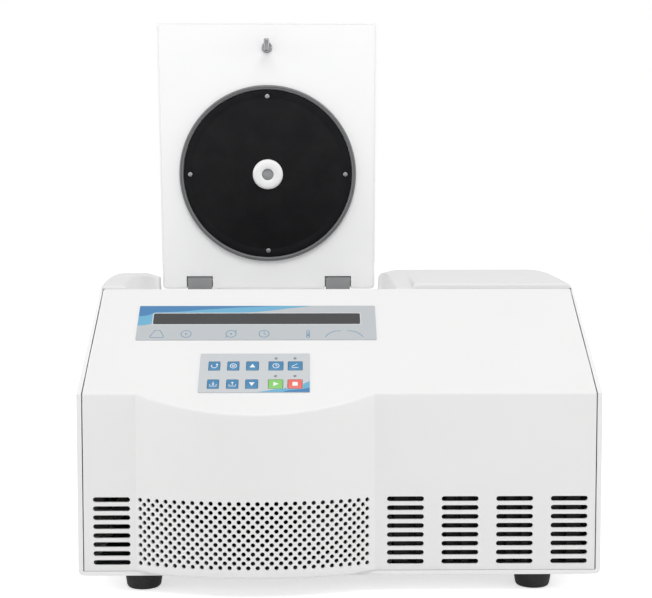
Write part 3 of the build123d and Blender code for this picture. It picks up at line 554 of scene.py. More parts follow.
def placePanel(u, v, h):
    # V runs up the face from its lower edge, over the crease and up the slope
    angle = bowAngle(u)
    outward = Vector((math.sin(angle), -math.cos(angle), 0))
    upward = Vector((0, -slopeSin, slopeCos))
    reach, radius = frontPanel["creaseReach"], frontPanel["creaseRadius"]
    w = v - creaseVAt(u)
    if w <= -reach:
        point = Vector((u, faceYAt(u), bottomZAt(u) + (v - frontPanel["bottomZ"]) * faceScale(u)))
        normal = outward
    elif w < reach:
        creaseY = faceYAt(u)
        corner = Vector((u, creaseY, case["creaseZ"] + (creaseY - case["faceY"]) * slopeSin / slopeCos))
        centre = corner - radius * (outward + upward) / (1 + outward.dot(upward))
        normal = outward.slerp(upward, (w / reach + 1) / 2)
        point = centre + radius * normal
    elif v <= panelTopRows[0][0]:
        point = Vector(onSlope(u, v - creaseV, 0))
        normal = upward
    else:
        for (v0, y0, z0, a0, b0), (v1, y1, z1, a1, b1) in zip(panelTopRows, panelTopRows[1:]):
            if v <= v1 + 1e-3:
                break
        t = (v - v0) / (v1 - v0)
        point = Vector((u, y0 + t * (y1 - y0), z0 + t * (z1 - z0)))
        normal = Vector((0, a0 + t * (a1 - a0), b0 + t * (b1 - b0))).normalized()
    edge = min(panelHalfAt(v) - abs(u), v - frontPanel["bottomZ"] + 0.001)
    fall = frontPanel["edgeRound"]
    if 0 <= edge < fall:
        h -= fall - math.sqrt(fall ** 2 - (fall - edge) ** 2)
    return point + normal * h


def keyHoles():
    gap = frontPanel["keyGap"]
    return [roundedLoop(x0 - gap, x1 + gap, s0 - gap, s1 + gap, frontPanel["keyHoleCorner"], 3)
            for s0, s1 in frontPanel["keyRows"] for x0, x1 in frontPanel["keyColumns"]]


def panelHoles():
    p = frontPanel
    holes = []
    a, b = p["slotLength"] / 2, p["slotHeight"] / 2
    for x in p["slotColumns"]:
        for row in range(p["slotRows"]):
            z = p["slotTop"] - row * p["slotPitch"]
            holes.append([(q, panelVAt(q, r)) for q, r in roundedLoop(x - a, x + a, z - b, z + b, b - 0.01, 5)])
    for row in range(p["holeRows"]):
        z = p["holeTop"] - row * p["holeRowPitch"]
        for m in range(-p["holeReach"] + row % 2, p["holeReach"] + 1, 2):
            ring = circleLoop(p["holeShift"] + m * p["holePitch"], z, p["holeRadius"], p["holeSides"])
            holes.append([(bowXAt(q), panelVAt(bowXAt(q), r)) for q, r in ring])
    x0, x1, s0, s1 = p["window"]
    holes.append(roundedLoop(x0, x1, creaseV + s0, creaseV + s1, p["windowCorner"]))
    return holes + [shifted(loop, 0, creaseV) for loop in keyHoles()]


def makeFrontPanel():
    p = frontPanel
    bottom, reach, half, fall = p["bottomZ"], p["creaseReach"], p["half"], p["edgeRound"]
    topEnd = panelTopRows[-1][0]
    levels = p["lowLevels"] + (creaseV - reach, creaseV + reach) + p["highLevels"]
    grid = range(-p["holeReach"], p["holeReach"] + 1)
    bowEnds = [p["bowX"] - p["bowHalf"], p["bowX"] + p["bowHalf"]]
    columns = [bowXAt(p["holeShift"] + m * p["holePitch"]) for m in grid]
    columns += bowEnds + [x + d for x in bowEnds for d in p["besideBow"]]
    sides = [side * (half - inset) for side in (-1, 1) for inset in (0, fall / 3, fall)]
    xs = sorted(set(columns + sides + list(p["plainColumns"])))
    lines = [[(x, creaseVAt(x) + reach * share) for x in xs] for share in (-1, -0.6, -0.2, 0.2, 0.6, 1)]
    for v in [row[0] for row in panelTopRows[:-1]]:
        lines.append([(x * panelHalfAt(v) / half, v) for x in xs])
    for step in (fall / 3, fall):
        lines.append([(x, bottom + step) for x in xs if abs(x) <= half - step])
        for side in (-1, 1):
            lines.append([(side * (panelHalfAt(v) - step), v)
                          for v in (bottom + step, *levels, panelTopRows[0][0], topEnd)])
    for x in bowEnds + [q + d for q in bowEnds for d in (-1.5, 1.5)]:
        upright = [bottom] + [panelVAt(x, z) for z in (p["grilleLow"], *p["uprightLevels"])]
        lines.append([(x, v) for v in upright] + [(x, creaseVAt(x) - reach)])
    dots = []
    for x in columns:
        low, high = panelVAt(x, p["grilleHigh"]), creaseVAt(x) - reach
        dots += [(x, low + (high - low) * t / 12) for t in range(12)]
        dots.append((x, panelVAt(x, p["grilleLow"])))
    for m, x in zip(grid, columns):
        for row in range(-1, p["holeRows"] + 1):
            if (m + row) % 2 == 0 or row in (-1, p["holeRows"]):
                dots.append((x, panelVAt(x, p["holeTop"] - row * p["holeRowPitch"])))
    right = [(panelHalfAt(v), v) for v in (bottom + fall / 3, bottom + fall, *levels)]
    right += [(panelHalfAt(row[0]), row[0]) for row in panelTopRows]
    outline = [(x, bottom) for x in xs] + right
    outline += [(x * p["topHalf"] / half, topEnd) for x in reversed(xs[1:-1])]
    outline += [(-x, v) for x, v in reversed(right)]
    bm = bmesh.new()
    addSheet(bm, outline, panelHoles(), -p["wall"], 0.0, placePanel, lines, dots)
    finishPiece(bm, "frontPanelMoulding", "chassis", ["panelWhite"], "panel_white", ["front_panel"], sharp=50)


makeFrontPanel()
print("front panel made")


# Display and keypad on the slope, with plain pictograms drawn about their own middles

display = {
    "film": (-241.4, 45.3, 89.5, 150.8), "window": (-223.0, 26.4, 117.4, 136.8), "filmLow": 0.02, "filmHeight": 0.8,
    "filmCorner": 1.6, "rimWidth": 0.7, "symbolS": 100.0, "symbolLine": 0.85,
    "symbols": (("rotor", -216.5), ("speed", -181.9), ("force", -128.3), ("clock", -88.9),
                ("heat", -36.4), ("rise", -6.5), ("fall", 19.8)),
}
keypad = {
    "film": (-162.2, -34.3, 1.2, 65.6), "keyTop": 1.0, "keyDepth": 1.2, "corner": 1.0, "keyRound": 0.5,
    "markLine": 0.8, "lamps": ((-73.8, 57.2), (-51.8, 57.2), (-73.9, 27.7), (-51.6, 27.7)), "lampRadius": 1.9,
    "names": (("key_speed", "key_force", "key_up", "key_timer", "key_open"),
              ("key_save", "key_recall", "key_down", "key_start", "key_stop")),
    "colours": {"key_start": ("keyGreen", "key_green"), "key_stop": ("keyRed", "key_red")},
}
printLow, printTop = display["filmHeight"] - 0.1, display["filmHeight"] + 0.05
dial, hub = circleLoop(0, 0, 6.0, 36), circleLoop(0, 0, 0.9, 12)
sweep = [(-9.4, -5.6), (-6.8, -1.8), (-3.4, 1.6), (0.8, 4.0), (4.8, 5.0), (9.0, 5.2)]
symbolLines = {  # closed lines, then open ones
    "rotor": ([[(-7.4, -6.4), (7.4, -6.4), (8.2, -4.6), (7.2, -2.2), (3.0, 6.2), (-3.0, 6.2), (-7.2, -2.2),
                (-8.2, -4.6)]], []),
    "speed": ([dial, hub], []),
    "force": ([dial, hub], [[(4.6, 4.4), (6.8, 6.2)], [(-4.6, -4.4), (-6.8, -6.2)]]),
    "clock": ([dial], [[(0, 3.8), (0, 0), (3.0, -1.6)]]),
    "heat": ([circleLoop(0, -4.6, 2.0, 16)], [[(-1.5, -3.0), (-1.5, 5.0), (0, 6.6), (1.5, 5.0), (1.5, -3.0)],
                                              [(0, 2.0), (0, -4.6)]]),
    "rise": ([], [sweep]),
    "fall": ([], [[(-a, b) for a, b in sweep]]),
}
clockRing = arcLine(3.6, 0, 360, 20)
tray = [(-3.8, -0.6), (-3.8, -3.4), (3.8, -3.4), (3.8, -0.6)]
keyMarks = {  # filled shapes, then lines
    "key_up": ([[(-3.4, -2.6), (3.4, -2.6), (0, 3.2)]], []),
    "key_down": ([[(-3.4, 2.6), (0, -3.2), (3.4, 2.6)]], []),
    "key_start": ([[(-2.6, -3.4), (3.6, 0), (-2.6, 3.4)]], []),
    "key_stop": ([[(-3, -3), (3, -3), (3, 3), (-3, 3)]], []),
    "key_speed": ([[(2.2, 3.9), (4.9, 2.6), (2.4, 0.8)]], [arcLine(3.3, 60, -215, 18)]),
    "key_force": ([], [clockRing, arcLine(1.3, 0, 360, 12)]),
    "key_timer": ([], [clockRing, [(0, 2.4), (0, 0)], [(0, 0), (2, -0.6)]]),
    "key_open": ([], [[(-4, -3), (4, -3)], [(-4, -1.2), (2.6, 3.4)]]),
    "key_save": ([[(-1.8, 0.4), (0, -1.8), (1.8, 0.4)]], [[(0, 3.6), (0, -0.4)], tray]),
    "key_recall": ([[(-1.8, 1.6), (1.8, 1.6), (0, 3.8)]], [[(0, 2.0), (0, -1.6)], tray]),
}


def makeDisplay():
    x0, x1, s0, s1 = display["film"]
    w0, w1, t0, t1 = display["window"]
    low, height = display["filmLow"], display["filmHeight"]
    slopeSheet("displayFilm", roundedLoop(x0, x1, s0, s1, display["filmCorner"]), [roundedLoop(w0, w1, t0, t1, 2.2)],
               low, height, "overlayGrey", "overlay_grey", ["display_overlay"])
    # printed bands: dark blue along the top left, with a paler one under it
    edge, ceiling = x0 + 0.3, s1 - 0.3
    bandLine = [(edge, 131.9), (-233.7, 132.6), (-228.6, 134.2), (-225.4, 136.4), (-222.0, 138.4), (-210.0, 139.2),
                (-194.0, 139.9), (-182.5, 141.1), (-166.7, 143.4), (-145.6, 145.3), (-124.7, 147.3), (-91.4, 149.3),
                (-62.0, ceiling)]
    paleLine = [(-33.0, ceiling), (-40.4, 148.8), (-57.0, 146.5), (-72.6, 143.4), (-92.0, 140.3), (-105.3, 138.8),
                (-117.7, t1 + 1.3), (w0 + 1.4, t1 + 1.3), (w0 - 0.6, t1 + 0.6), (w0 - 1.3, t1 - 1.2), (w0 - 1.3, 118.2),
                (-231.9, 116.2), (edge, 114.9)]
    slopeSheet("displayBandDark", [(edge, ceiling)] + bandLine, [], printLow, printTop, "bandBlue", "overlay_grey")
    slopeSheet("displayBandPale", bandLine + paleLine, [], printLow, printTop, "bandPale", "overlay_grey")
    slopeSheet("displayWindow", roundedLoop(w0 + 0.15, w1 - 0.15, t0 + 0.15, t1 - 0.15, 2.1), [],
               low, height - 0.15, "windowDark", "window_dark", ["display_window"])
    # pale line round the window
    bm = bmesh.new()
    addRibbon(bm, roundedLoop(w0 - 0.9, w1 + 0.9, t0 - 0.9, t1 + 0.9, 2.9), display["rimWidth"], printLow, printTop,
              closed=True)
    finishPiece(bm, "displayWindowRim", "chassis", ["printPale"], "overlay_grey")
    bm = bmesh.new()
    for kind, x in display["symbols"]:
        for lines, closed in zip(symbolLines[kind], (True, False)):
            for line in lines:
                addRibbon(bm, shifted(line, x, display["symbolS"]), display["symbolLine"], printLow, printTop, closed)
    finishPiece(bm, "displaySymbols", "chassis", ["printBlue"], "overlay_grey")


def makeKey(name, x0, x1, s0, s1):
    finish, slotName = keypad["colours"].get(name, ("keyBlue", "key_blue"))
    top = keypad["keyTop"]
    bm = bmesh.new()
    addRaised(bm, roundedLoop(x0, x1, s0, s1, keypad["corner"], 4), -keypad["keyDepth"], top, keypad["keyRound"])
    finishPiece(bm, "keypad" + joinedName(name), name, [finish], slotName, [name])
    shapes, strokes = keyMarks[name]
    middle = ((x0 + x1) / 2, (s0 + s1) / 2)
    bm = bmesh.new()
    for shape in shapes:
        addSheet(bm, shifted(shape, *middle), [], top - 0.2, top + 0.06, onSlope)
    for stroke in strokes:
        addRibbon(bm, shifted(stroke, *middle), keypad["markLine"], top - 0.2, top + 0.06)
    finishPiece(bm, "keypad" + joinedName(name) + "Mark", name, ["printWhite"], slotName)


def makeKeypad():
    x0, x1, s0, s1 = keypad["film"]
    height = display["filmHeight"]
    slopeSheet("keypadFilm", roundedLoop(x0, x1, s0, s1, display["filmCorner"]), keyHoles(), display["filmLow"], height,
               "keypadGrey", "keypad_grey", ["keypad_overlay"])
    low, edge = s0 + 0.3, x1 - 0.3
    wedgeLine = [(-66.2, low), (-61.1, 3.9), (-52.8, 5.2), (-42.7, 6.6), (-38.6, 7.6), (edge, 8.8)]
    paleLine = [(edge, 19.4), (-38.6, 17.2), (-42.2, 14.6), (-42.4, 6.9), (-60.4, 6.8), (-62.4, 8.8), (-64.6, 6.8),
                (-70.0, 6.6), (-75.8, 5.9), (-83.1, 3.9), (-94.6, low)]
    slopeSheet("keypadWedgeDark", wedgeLine + [(edge, low)], [], printLow, printTop, "bandBlue", "keypad_grey")
    slopeSheet("keypadWedgePale", wedgeLine + paleLine, [], printLow, printTop, "bandPale", "keypad_grey")
    bm = bmesh.new()
    for x, s in keypad["lamps"]:
        addRaised(bm, circleLoop(x, s, keypad["lampRadius"], 24), printLow, height + 0.25, 0.3)
    finishPiece(bm, "keypadLamps", "chassis", ["ledGrey"], "keypad_grey")
    for rows, names in zip(frontPanel["keyRows"], keypad["names"]):
        for columns, name in zip(frontPanel["keyColumns"], names):
            makeKey(name, *columns, *rows)


makeDisplay()
makeKeypad()
print("display and keypad made")


# Top cover: crowned wings either side of a sunk deck with its chamber collar

topCover = {
    "half": 293.0, "bodyHalf": 288.5, "ledgeZ": 342.3, "frontY": -116.7, "backY": 293.7, "low": 313.0,
    "recessLeft": -263.8, "recessRight": 72.3, "recessDraft": 1.0, "raisedLeft": 95.0, "raisedWidth": 5.0,
    "raisedRound": 2.4, "edgeRound": 3.6, "recessRound": 2.0, "rowCount": 36,
    # width and drop of each wing's fall to the recess, and of its outer corner
    "leftSlope": (26.0, 6.3), "rightSlope": (24.0, 6.0), "slopeEase": 0.4,
    "leftCorner": (4.0, 1.6), "rightCorner": (8.5, 7.0),
    "slot": (-104.5, -88.5, -99.1, -71.5), "slotCorner": 2.0, "slotRim": 2.2, "slotRimRise": 0.8,
    # crown height above the case's edge at shares of the depth
    "leftCrown": ((0, 4.2), (0.06, 7.8), (0.14, 10.7), (0.25, 12.6), (0.36, 12.5), (0.48, 10.6),
                  (0.6, 8.3), (0.72, 5.9), (0.84, 3.5), (1, 0.8)),
    "shoulderCrown": ((0, 1.6), (0.1, 5.8), (0.23, 9.2), (0.35, 10.9), (0.48, 11.8), (0.62, 11.6),
                      (0.75, 9.7), (0.88, 6.2), (1, 1.4)),
    "raisedCrown": ((0, 7.2), (0.1, 9.0), (0.23, 10.8), (0.35, 11.8), (0.48, 12.3), (0.62, 11.9),
                    (0.75, 9.9), (0.88, 6.3), (1, 1.5)),
    # mesh columns: shares of the outer corner, then distances from the middle
    "cornerShares": (0.0, 0.014, 0.053, 0.12, 0.21, 0.33, 0.47, 0.66, 0.85, 1.0),
    "leftColumns": (287, 285, 282, 279, 276, 273, 270),
    "rightColumns": (270, 240, 210, 180, 150, 120, 100, 97.5, 96, 95.3, 93, 91, 89, 86, 83, 80, 77),
    "collarInner": 122.3, "collarOuter": 134.0, "collarTop": 322.6,
}


def depthShare(y):
    return (y - topCover["frontY"]) / (topCover["backY"] - topCover["frontY"])


def crownHeight(table, y):
    # a smooth curve through the crown's heights along its length
    share = min(max(depthShare(y), 0.0), 1.0)
    k = max(i for i in range(len(table) - 1) if table[i][0] <= share)
    steps = [(b[1] - a[1]) / (b[0] - a[0]) for a, b in zip(table, table[1:])]
    slopes = [steps[0]] + [(a + b) / 2 for a, b in zip(steps, steps[1:])] + [steps[-1]]
    (t0, h0), (t1, h1) = table[k], table[k + 1]
    w = t1 - t0
    t = (share - t0) / w
    curve = (h0 * (2 * t ** 3 - 3 * t ** 2 + 1) + h1 * (3 * t ** 2 - 2 * t ** 3)
             + w * slopes[k] * (t ** 3 - 2 * t ** 2 + t) + w * slopes[k + 1] * (t ** 3 - t ** 2))
    return case["edgeZ"] + curve


def coverHeight(x, y):
    # the wings fall toward the recess more and more with depth
    p = topCover
    share = depthShare(y)
    if x > 0:
        width, drop = p["rightSlope"]
        away = (p["recessRight"] + width - x) / width
        table = p["raisedCrown"] if x > p["raisedLeft"] else p["shoulderCrown"]
        cornerWidth, cornerDrop = p["rightCorner"]
        cornerDrop *= max(0.17, 1 - share / 0.5)  # flatter from the middle back
    else:
        width, drop = p["leftSlope"]
        away = (x - p["recessLeft"] + width) / width
        table = p["leftCrown"]
        cornerWidth, cornerDrop = p["leftCorner"]
    away = max(0.0, away)
    ease = p["slopeEase"]
    fallen = away * away / (2 * ease) if away < ease else away - ease / 2
    height = crownHeight(table, y) - drop * share * fallen / (1 - ease / 2)
    toEdge = (p["half"] - abs(x)) / cornerWidth
    if toEdge < 1:
        height -= cornerDrop * (1 - math.sqrt(max(0.0, 1 - (1 - toEdge) ** 2)))
    return height


def wingSection(y, fall, onRight):
    # one wing's outline at this depth, from its outer foot over the top to the recess
    p = topCover
    r, outer, deck = p["recessRound"], p["half"], case["deckZ"]
    raised, raisedWidth = p["raisedLeft"], p["raisedWidth"]
    side = "right" if onRight else "left"
    sign = 1 if onRight else -1
    recess = p["recessRight"] if onRight else -p["recessLeft"]
    inner = recess + r
    xs = [outer - p[side + "Corner"][0] * d for d in p["cornerShares"]] + [*p[side + "Columns"], inner]
    lowest = p["ledgeZ"] + 0.4
    points = [(p["bodyHalf"], p["low"]), (p["bodyHalf"], p["ledgeZ"]), (outer, p["ledgeZ"])]
    for x in xs:
        height = coverHeight(sign * x, y) - fall
        if onRight and raised < x <= raised + raisedWidth:
            soft = p["raisedRound"] * (1 - math.sqrt(max(0.0, 1 - ((raised + raisedWidth - x) / raisedWidth) ** 2)))
            height -= min(soft, max(0.0, coverHeight(x, y) - coverHeight(raised - 0.3, y)))
        points.append((x, max(height, lowest) if x > p["bodyHalf"] else height))
    top = coverHeight(sign * inner, y) - fall
    for k in range(1, 7):
        turn = math.pi / 2 * k / 6
        points.append((inner - r * math.sin(turn), top - r * (1 - math.cos(turn))))
    wallX = recess - p["recessDraft"]
    points += [(wallX + 0.5, deck + 2.5), (wallX, deck + 1.0), (wallX, deck), (wallX, p["low"])]
    return [(sign * x, z) for x, z in points]


def makeTopCover():
    p = topCover
    r, front, back, deck = p["edgeRound"], p["frontY"], p["backY"], case["deckZ"]
    bm = bmesh.new()
    # rows along the depth, each with how far the rounded ends let it fall
    turns = [math.pi / 2 * k / 5 for k in range(6)]
    rows = [(front + r * (1 - math.cos(turn)), r * (1 - math.sin(turn))) for turn in turns]
    count = p["rowCount"]
    rows += [(front + r + (back - front - 2 * r) * k / count, 0.0) for k in range(1, count)]
    rows += [(back - y + front, fall) for y, fall in reversed(rows[:6])]
    for onRight in (False, True):
        rings = [[bm.verts.new((x, y, z)) for x, z in wingSection(y, fall, onRight)] for y, fall in rows]
        for k, wall in joinRings(bm, rings):
            if len(rings[0]) - 8 <= k < len(rings[0]) - 2:  # the recess wall gets a lighter white: painted light, as the lamps leave it darker than the rest
                wall.material_index = 1
    x0, x1, y0, y1 = p["slot"]
    left, right = p["recessLeft"] + p["recessDraft"], p["recessRight"] - p["recessDraft"]
    inner, outer, top = p["collarInner"], p["collarOuter"], p["collarTop"]
    slotLoop = roundedLoop(x0, x1, y0, y1, p["slotCorner"])
    addSheet(bm, [(left, front), (right, front), (right, back), (left, back)],
             [circleLoop(*chamberAxis, outer - 3, 96), slotLoop], p["low"], deck, lying)
    # raised lip round the latch slot
    rim = p["slotRim"]
    addSheet(bm, roundedLoop(x0 - rim, x1 + rim, y0 - rim, y1 + rim, 4.0), [slotLoop], deck - 0.5,
             deck + p["slotRimRise"], lying)
    collar = ([(inner, p["low"])] + shifted([(0, -2.4), (0.5, -1.0), (1.6, -0.2), (2.8, 0)], inner, top)
              + shifted([(-4.0, 0), (-2.4, -0.3), (-1.2, -1.2), (-0.8, -2.6)], outer, top)
              + shifted([(-0.6, 1.6), (0.4, 0.4), (2.0, -0.1), (2.0, -1.5)], outer, deck) + [(outer - 4.0, p["low"])])
    addTurned(bm, collar, chamberAxis, 128)
    finishPiece(bm, "topCoverMoulding", "chassis", ["coverWhite", "recessPaintedLight"], "cover_white", ["top_cover"],
                sharp=38)


makeTopCover()
print("top cover made")


# Lid, drawn closed and then swung to the open rest pose

lid = {
    "x0": -258.0, "x1": 65.0, "frontY": -116.0, "backY": 283.0, "under": 328.0, "top": 348.0,
    "wall": 3.0, "corner": 6.0, "notchCentres": (-201.5, 9.0), "notchHalf": 20.0, "notchFrontY": 263.3,
    "notchDepth": 14.0, "earWidth": 6.0, "earHalf": 9.0, "lensHole": 8.9,
}
liner = {
    "radius": 125.9, "thickness": 3.0, "gasketOuter": 132.2, "gasketInner": 126.3, "gasketHeight": 5.0,
    "ringOuter": 22.5, "ringInner": 8.7, "ringHeight": 5.0, "screwCircle": 116.0, "screwRadius": 3.5, "screwHead": 1.7,
}
striker = {
    "y": -79.5, "baseRadius": 7.8, "postRadius": 4.0, "reach": 25.0, "nose": 14.2, "noseWidth": 8.0, "noseHeight": 6.0,
}
hinge = Vector((0, case["hingeY"], case["hingeZ"]))
openLid = (Matrix.Translation(hinge) @ Matrix.Rotation(math.radians(-case["lidOpenAngle"]), 4, "X")
           @ Matrix.Translation(-hinge))


def cutWith(piece, bm):
    # takes a closed cutter away from a piece
    mesh = bpy.data.meshes.new("cutter")
    bmesh.ops.scale(bm, vec=(mm, mm, mm), verts=bm.verts)
    bmesh.ops.recalc_face_normals(bm, faces=bm.faces)
    bm.to_mesh(mesh)
    bm.free()
    cutter = bpy.data.objects.new("cutter", mesh)
    bpy.context.scene.collection.objects.link(cutter)
    cut = piece.modifiers.new("cut", "BOOLEAN")
    cut.operation = "DIFFERENCE"
    cut.solver = "EXACT"
    cut.object = cutter
    made = bpy.data.meshes.new_from_object(piece.evaluated_get(bpy.context.evaluated_depsgraph_get()))
    piece.modifiers.clear()
    piece.data = made
    bpy.data.objects.remove(cutter)
    made.shade_smooth()
    return made


def makeLidShell():
    p = lid
    bm = bmesh.new()
    z0, z1, w = p["under"], p["top"], p["wall"]
    # inset and height, from the inside of the top down, round the rim and up the outside
    levels = [(w + 0.4, z1 - w), (w, z1 - w - 0.4), (w, z0 + 0.5), (w - 0.5, z0)]
    levels += shifted([(1.2, 0), (0.5, 0.25), (0.1, 0.8), (0, 1.6)], 0, z0)
    levels += shifted([(0, -4.0), (0.25, -2.5), (1.0, -1.1), (2.4, -0.3), (4.5, 0)], 0, z1)
    rings = []
    for inset, z in levels:
        loop = roundedLoop(p["x0"] + inset, p["x1"] - inset, p["frontY"] + inset, p["backY"] - inset,
                           max(p["corner"] - inset, 0.8), 6)
        rings.append([bm.verts.new((x, y, z)) for x, y in loop])
    joinRings(bm, rings)
    piece = finishPiece(bm, "lidShell", "lid", ["lidWhite"], "lid_white", ["lid_shell"])
    cutters = bmesh.new()
    half, over = p["notchHalf"], 5
    for x in p["notchCentres"]:
        addBlock(cutters, (x - half, p["notchFrontY"], z0 - over), (x + half, p["backY"] + over, z0 + p["notchDepth"]),
                 1.0)
    r = p["lensHole"]
    addTurned(cutters, [(0, z0 - over), (r, z0 - over), (r, z1 + over), (0, z1 + over)], chamberAxis, 48)
    made = cutWith(piece, cutters)
    made.set_sharp_from_angle(angle=math.radians(35))
    for matrix in (Matrix.Scale(1 / mm, 4), openLid, Matrix.Scale(mm, 4)):
        made.transform(matrix)
    made.update()


def makeLidSheet():
    # painted sheet inside the lid, with ears that hold the hinge pins
    p = lid
    w, half, under = p["wall"], p["notchHalf"], p["under"]
    back = p["backY"] - w
    outline = [(p["x0"] + w, p["frontY"] + w), (p["x1"] - w, p["frontY"] + w), (p["x1"] - w, back)]
    for x in reversed(p["notchCentres"]):
        outline += [(x + half, back), (x + half, p["notchFrontY"]), (x - half, p["notchFrontY"]), (x - half, back)]
    outline += [(p["x0"] + w, back)]
    bm = bmesh.new()
    addSheet(bm, outline, [circleLoop(*chamberAxis, p["lensHole"], 48)], under, under + w, lying)
    for x in p["notchCentres"]:
        for a, b in ((x - half - p["earWidth"], x - half), (x + half, x + half + p["earWidth"])):
            addBlock(bm, (a, case["hingeY"] - p["earHalf"], under + w - 0.01),
                     (b, case["hingeY"] + p["earHalf"], p["top"] - w - 0.3))
    finishPiece(bm, "lidInnerSheet", "lid", ["sheetPaint"], "lid_white", ["lid_inner_panel"], sharp=30, matrix=openLid)


def makeLidFittings():
    p = liner
    under = lid["under"]
    face = under - p["thickness"]
    # black disc with a pressed ring near its rim
    inner = p["ringInner"] + 0.1
    disc = [(inner, under), (inner, face)] + shifted(
        [(-14.0, 0), (-13.2, 0.35), (-12.0, 0.35), (-11.2, 0), (-1.0, 0), (-0.3, 0.3), (0, 1.0)], p["radius"], face)
    turnedPiece("lidLinerDisc", disc + [(p["radius"], under)], 128, "lid", "linerBlack", "liner_black", "lid_liner",
                matrix=openLid)
    a, b, low = p["gasketInner"], p["gasketOuter"], under - p["gasketHeight"]
    ring = ([(a, under)] + shifted([(0, 1.8), (0.3, 0.9), (1.2, 0.2), (2.2, 0), (2.7, 0.9), (3.2, 0.9)], a, low)
            + shifted([(-2.2, 0), (-1.2, 0.2), (-0.3, 0.9), (0, 1.9)], b, low) + [(b, under)])
    turnedPiece("lidGasketRing", ring, 128, "lid", "gasketGrey", "gasket_grey", "lid_gasket", matrix=openLid)
    a, b, low = p["ringInner"], p["ringOuter"], face - p["ringHeight"]
    ring = ([(a, face)] + shifted([(0, 1.4), (0.4, 0.5), (1.4, 0)], a, low)
            + shifted([(-5.0, 0), (-2.8, 0.5), (-1.2, 1.6), (-0.3, 3.2)], b, low) + [(b, face)])
    turnedPiece("viewportBezel", ring, 64, "lid", "lidWhite", "lid_white", "viewport_ring", matrix=openLid)
    r, top = p["ringInner"] - 0.05, lid["top"]
    lens = [(0, low + 2.2), (r * 0.5, low + 2.4), (r - 0.5, low + 3.0), (r, low + 3.5), (r, top - 0.6),
            (r - 0.6, top - 0.1), (0, top - 0.05)]
    turnedPiece("viewportLens", lens, 48, "lid", "lensGlass", "lens_clear", "viewport_lens", matrix=openLid)
    r, low = p["screwRadius"], face - p["screwHead"]
    head = [(0, low + 1.0), (1.2, low + 1.0), (1.35, low + 0.05), (1.7, low), (r - 0.6, low + 0.35), (r, low + 1.2),
            (r, face), (0, face)]
    turnedPiece("linerScrewHeads", head, 24, "lid", "screwSteel", "steel", "liner_screws",
                centres=circleLoop(*chamberAxis, p["screwCircle"], 4), matrix=openLid)


def makeStriker():
    p = striker
    under, x, y, post = lid["under"], case["axisX"], p["y"], p["postRadius"]
    low = under - p["reach"]
    base = [(0, 0), (p["baseRadius"], 0), (p["baseRadius"], -2.0), (p["baseRadius"] - 1.0, -3.0), (post + 1.4, -3.0),
            (post + 0.4, -3.6), (post, -5.0)]
    bm = bmesh.new()
    addTurned(bm, shifted(base, 0, under) + [(post, low + 6.0), (0, low + 6.0)], (x, y), 40)
    half = p["noseWidth"] / 2
    addBlock(bm, (x - half, y - p["nose"], low), (x + half, y + post, low + p["noseHeight"]), 2.2, 4)
    finishPiece(bm, "lidStriker", "lid", ["strikerChrome"], "striker_chrome", ["lid_striker"], matrix=openLid)


makeLidShell()
makeLidSheet()
makeLidFittings()
makeStriker()
print("lid made")


# Chamber, shaft seal and rotor

chamber = {
    "radius": 120.5, "wall": 1.5, "floor": 165.0, "top": 313.0, "flange": 132.0, "hole": 22.0, "floorRound": 16.0,
    "sealRadius": 21.7, "sealBore": 9.5, "sealLow": 148.0, "sealTop": 169.0,
}
rotor = {
    "low": 186.0, "top": 284.0, "radius": 107.0, "rim": 74.0, "rimWidth": 8.0, "bore": 8.05, "hubFlat": 36.0,
    "mouthRadius": 52.0, "mouthZ": 275.0, "tilt": 25.0, "pocketRadius": 14.7, "pocketLength": 82.0, "pockets": 6,
    "nutRadius": 17.0, "nutHeight": 11.0, "lidThickness": 4.0, "knobRadius": 13.0, "knobHeight": 19.0, "ridges": 30,
}


def makeChamber():
    p = chamber
    r, w, f, q, top, flange = p["radius"], p["wall"], p["floor"], p["floorRound"], p["top"], p["flange"]
    inside, outside = [(p["hole"], f + w)], [(p["hole"], f)]
    for k in range(9):
        turn = math.pi / 2 * k / 8
        inside.append((r - q + q * math.sin(turn), f + w + q - q * math.cos(turn)))
        outside.append((r - q + (q + w) * math.sin(turn), f + q + w - (q + w) * math.cos(turn)))
    inside += shifted([(0, -3.0), (0.4, -1.2), (1.4, -0.2), (2.4, 0)], r, top) + [(flange, top)]
    outside += [(r + w, top - 4.0), (r + w + 1.2, top - w - 0.4), (flange, top - w)]
    turnedPiece("chamberBowl", inside + list(reversed(outside)), 128, "chassis", "bowlSteel", "bowl_steel",
                "chamber_bowl")
    a, b, top = p["sealBore"], p["sealRadius"], p["sealTop"]
    ripple = ([(b, p["sealLow"])] + shifted([(0, -6.0), (0, 0.2), (-2.0, 1.0), (-3.0, 2.4)], b, f)
              + [(b - 6.0, top - 1.0)] + shifted([(1.2, 0), (0.3, -0.4), (0, -1.2)], a, top) + [(a, p["sealLow"])])
    turnedPiece("shaftSeal", ripple, 64, "chassis", "gasketGrey", "gasket_grey", "chamber_seal")


def dishHeight(radius):
    return rotor["mouthZ"] + (radius - rotor["mouthRadius"]) * math.tan(math.radians(rotor["tilt"]))


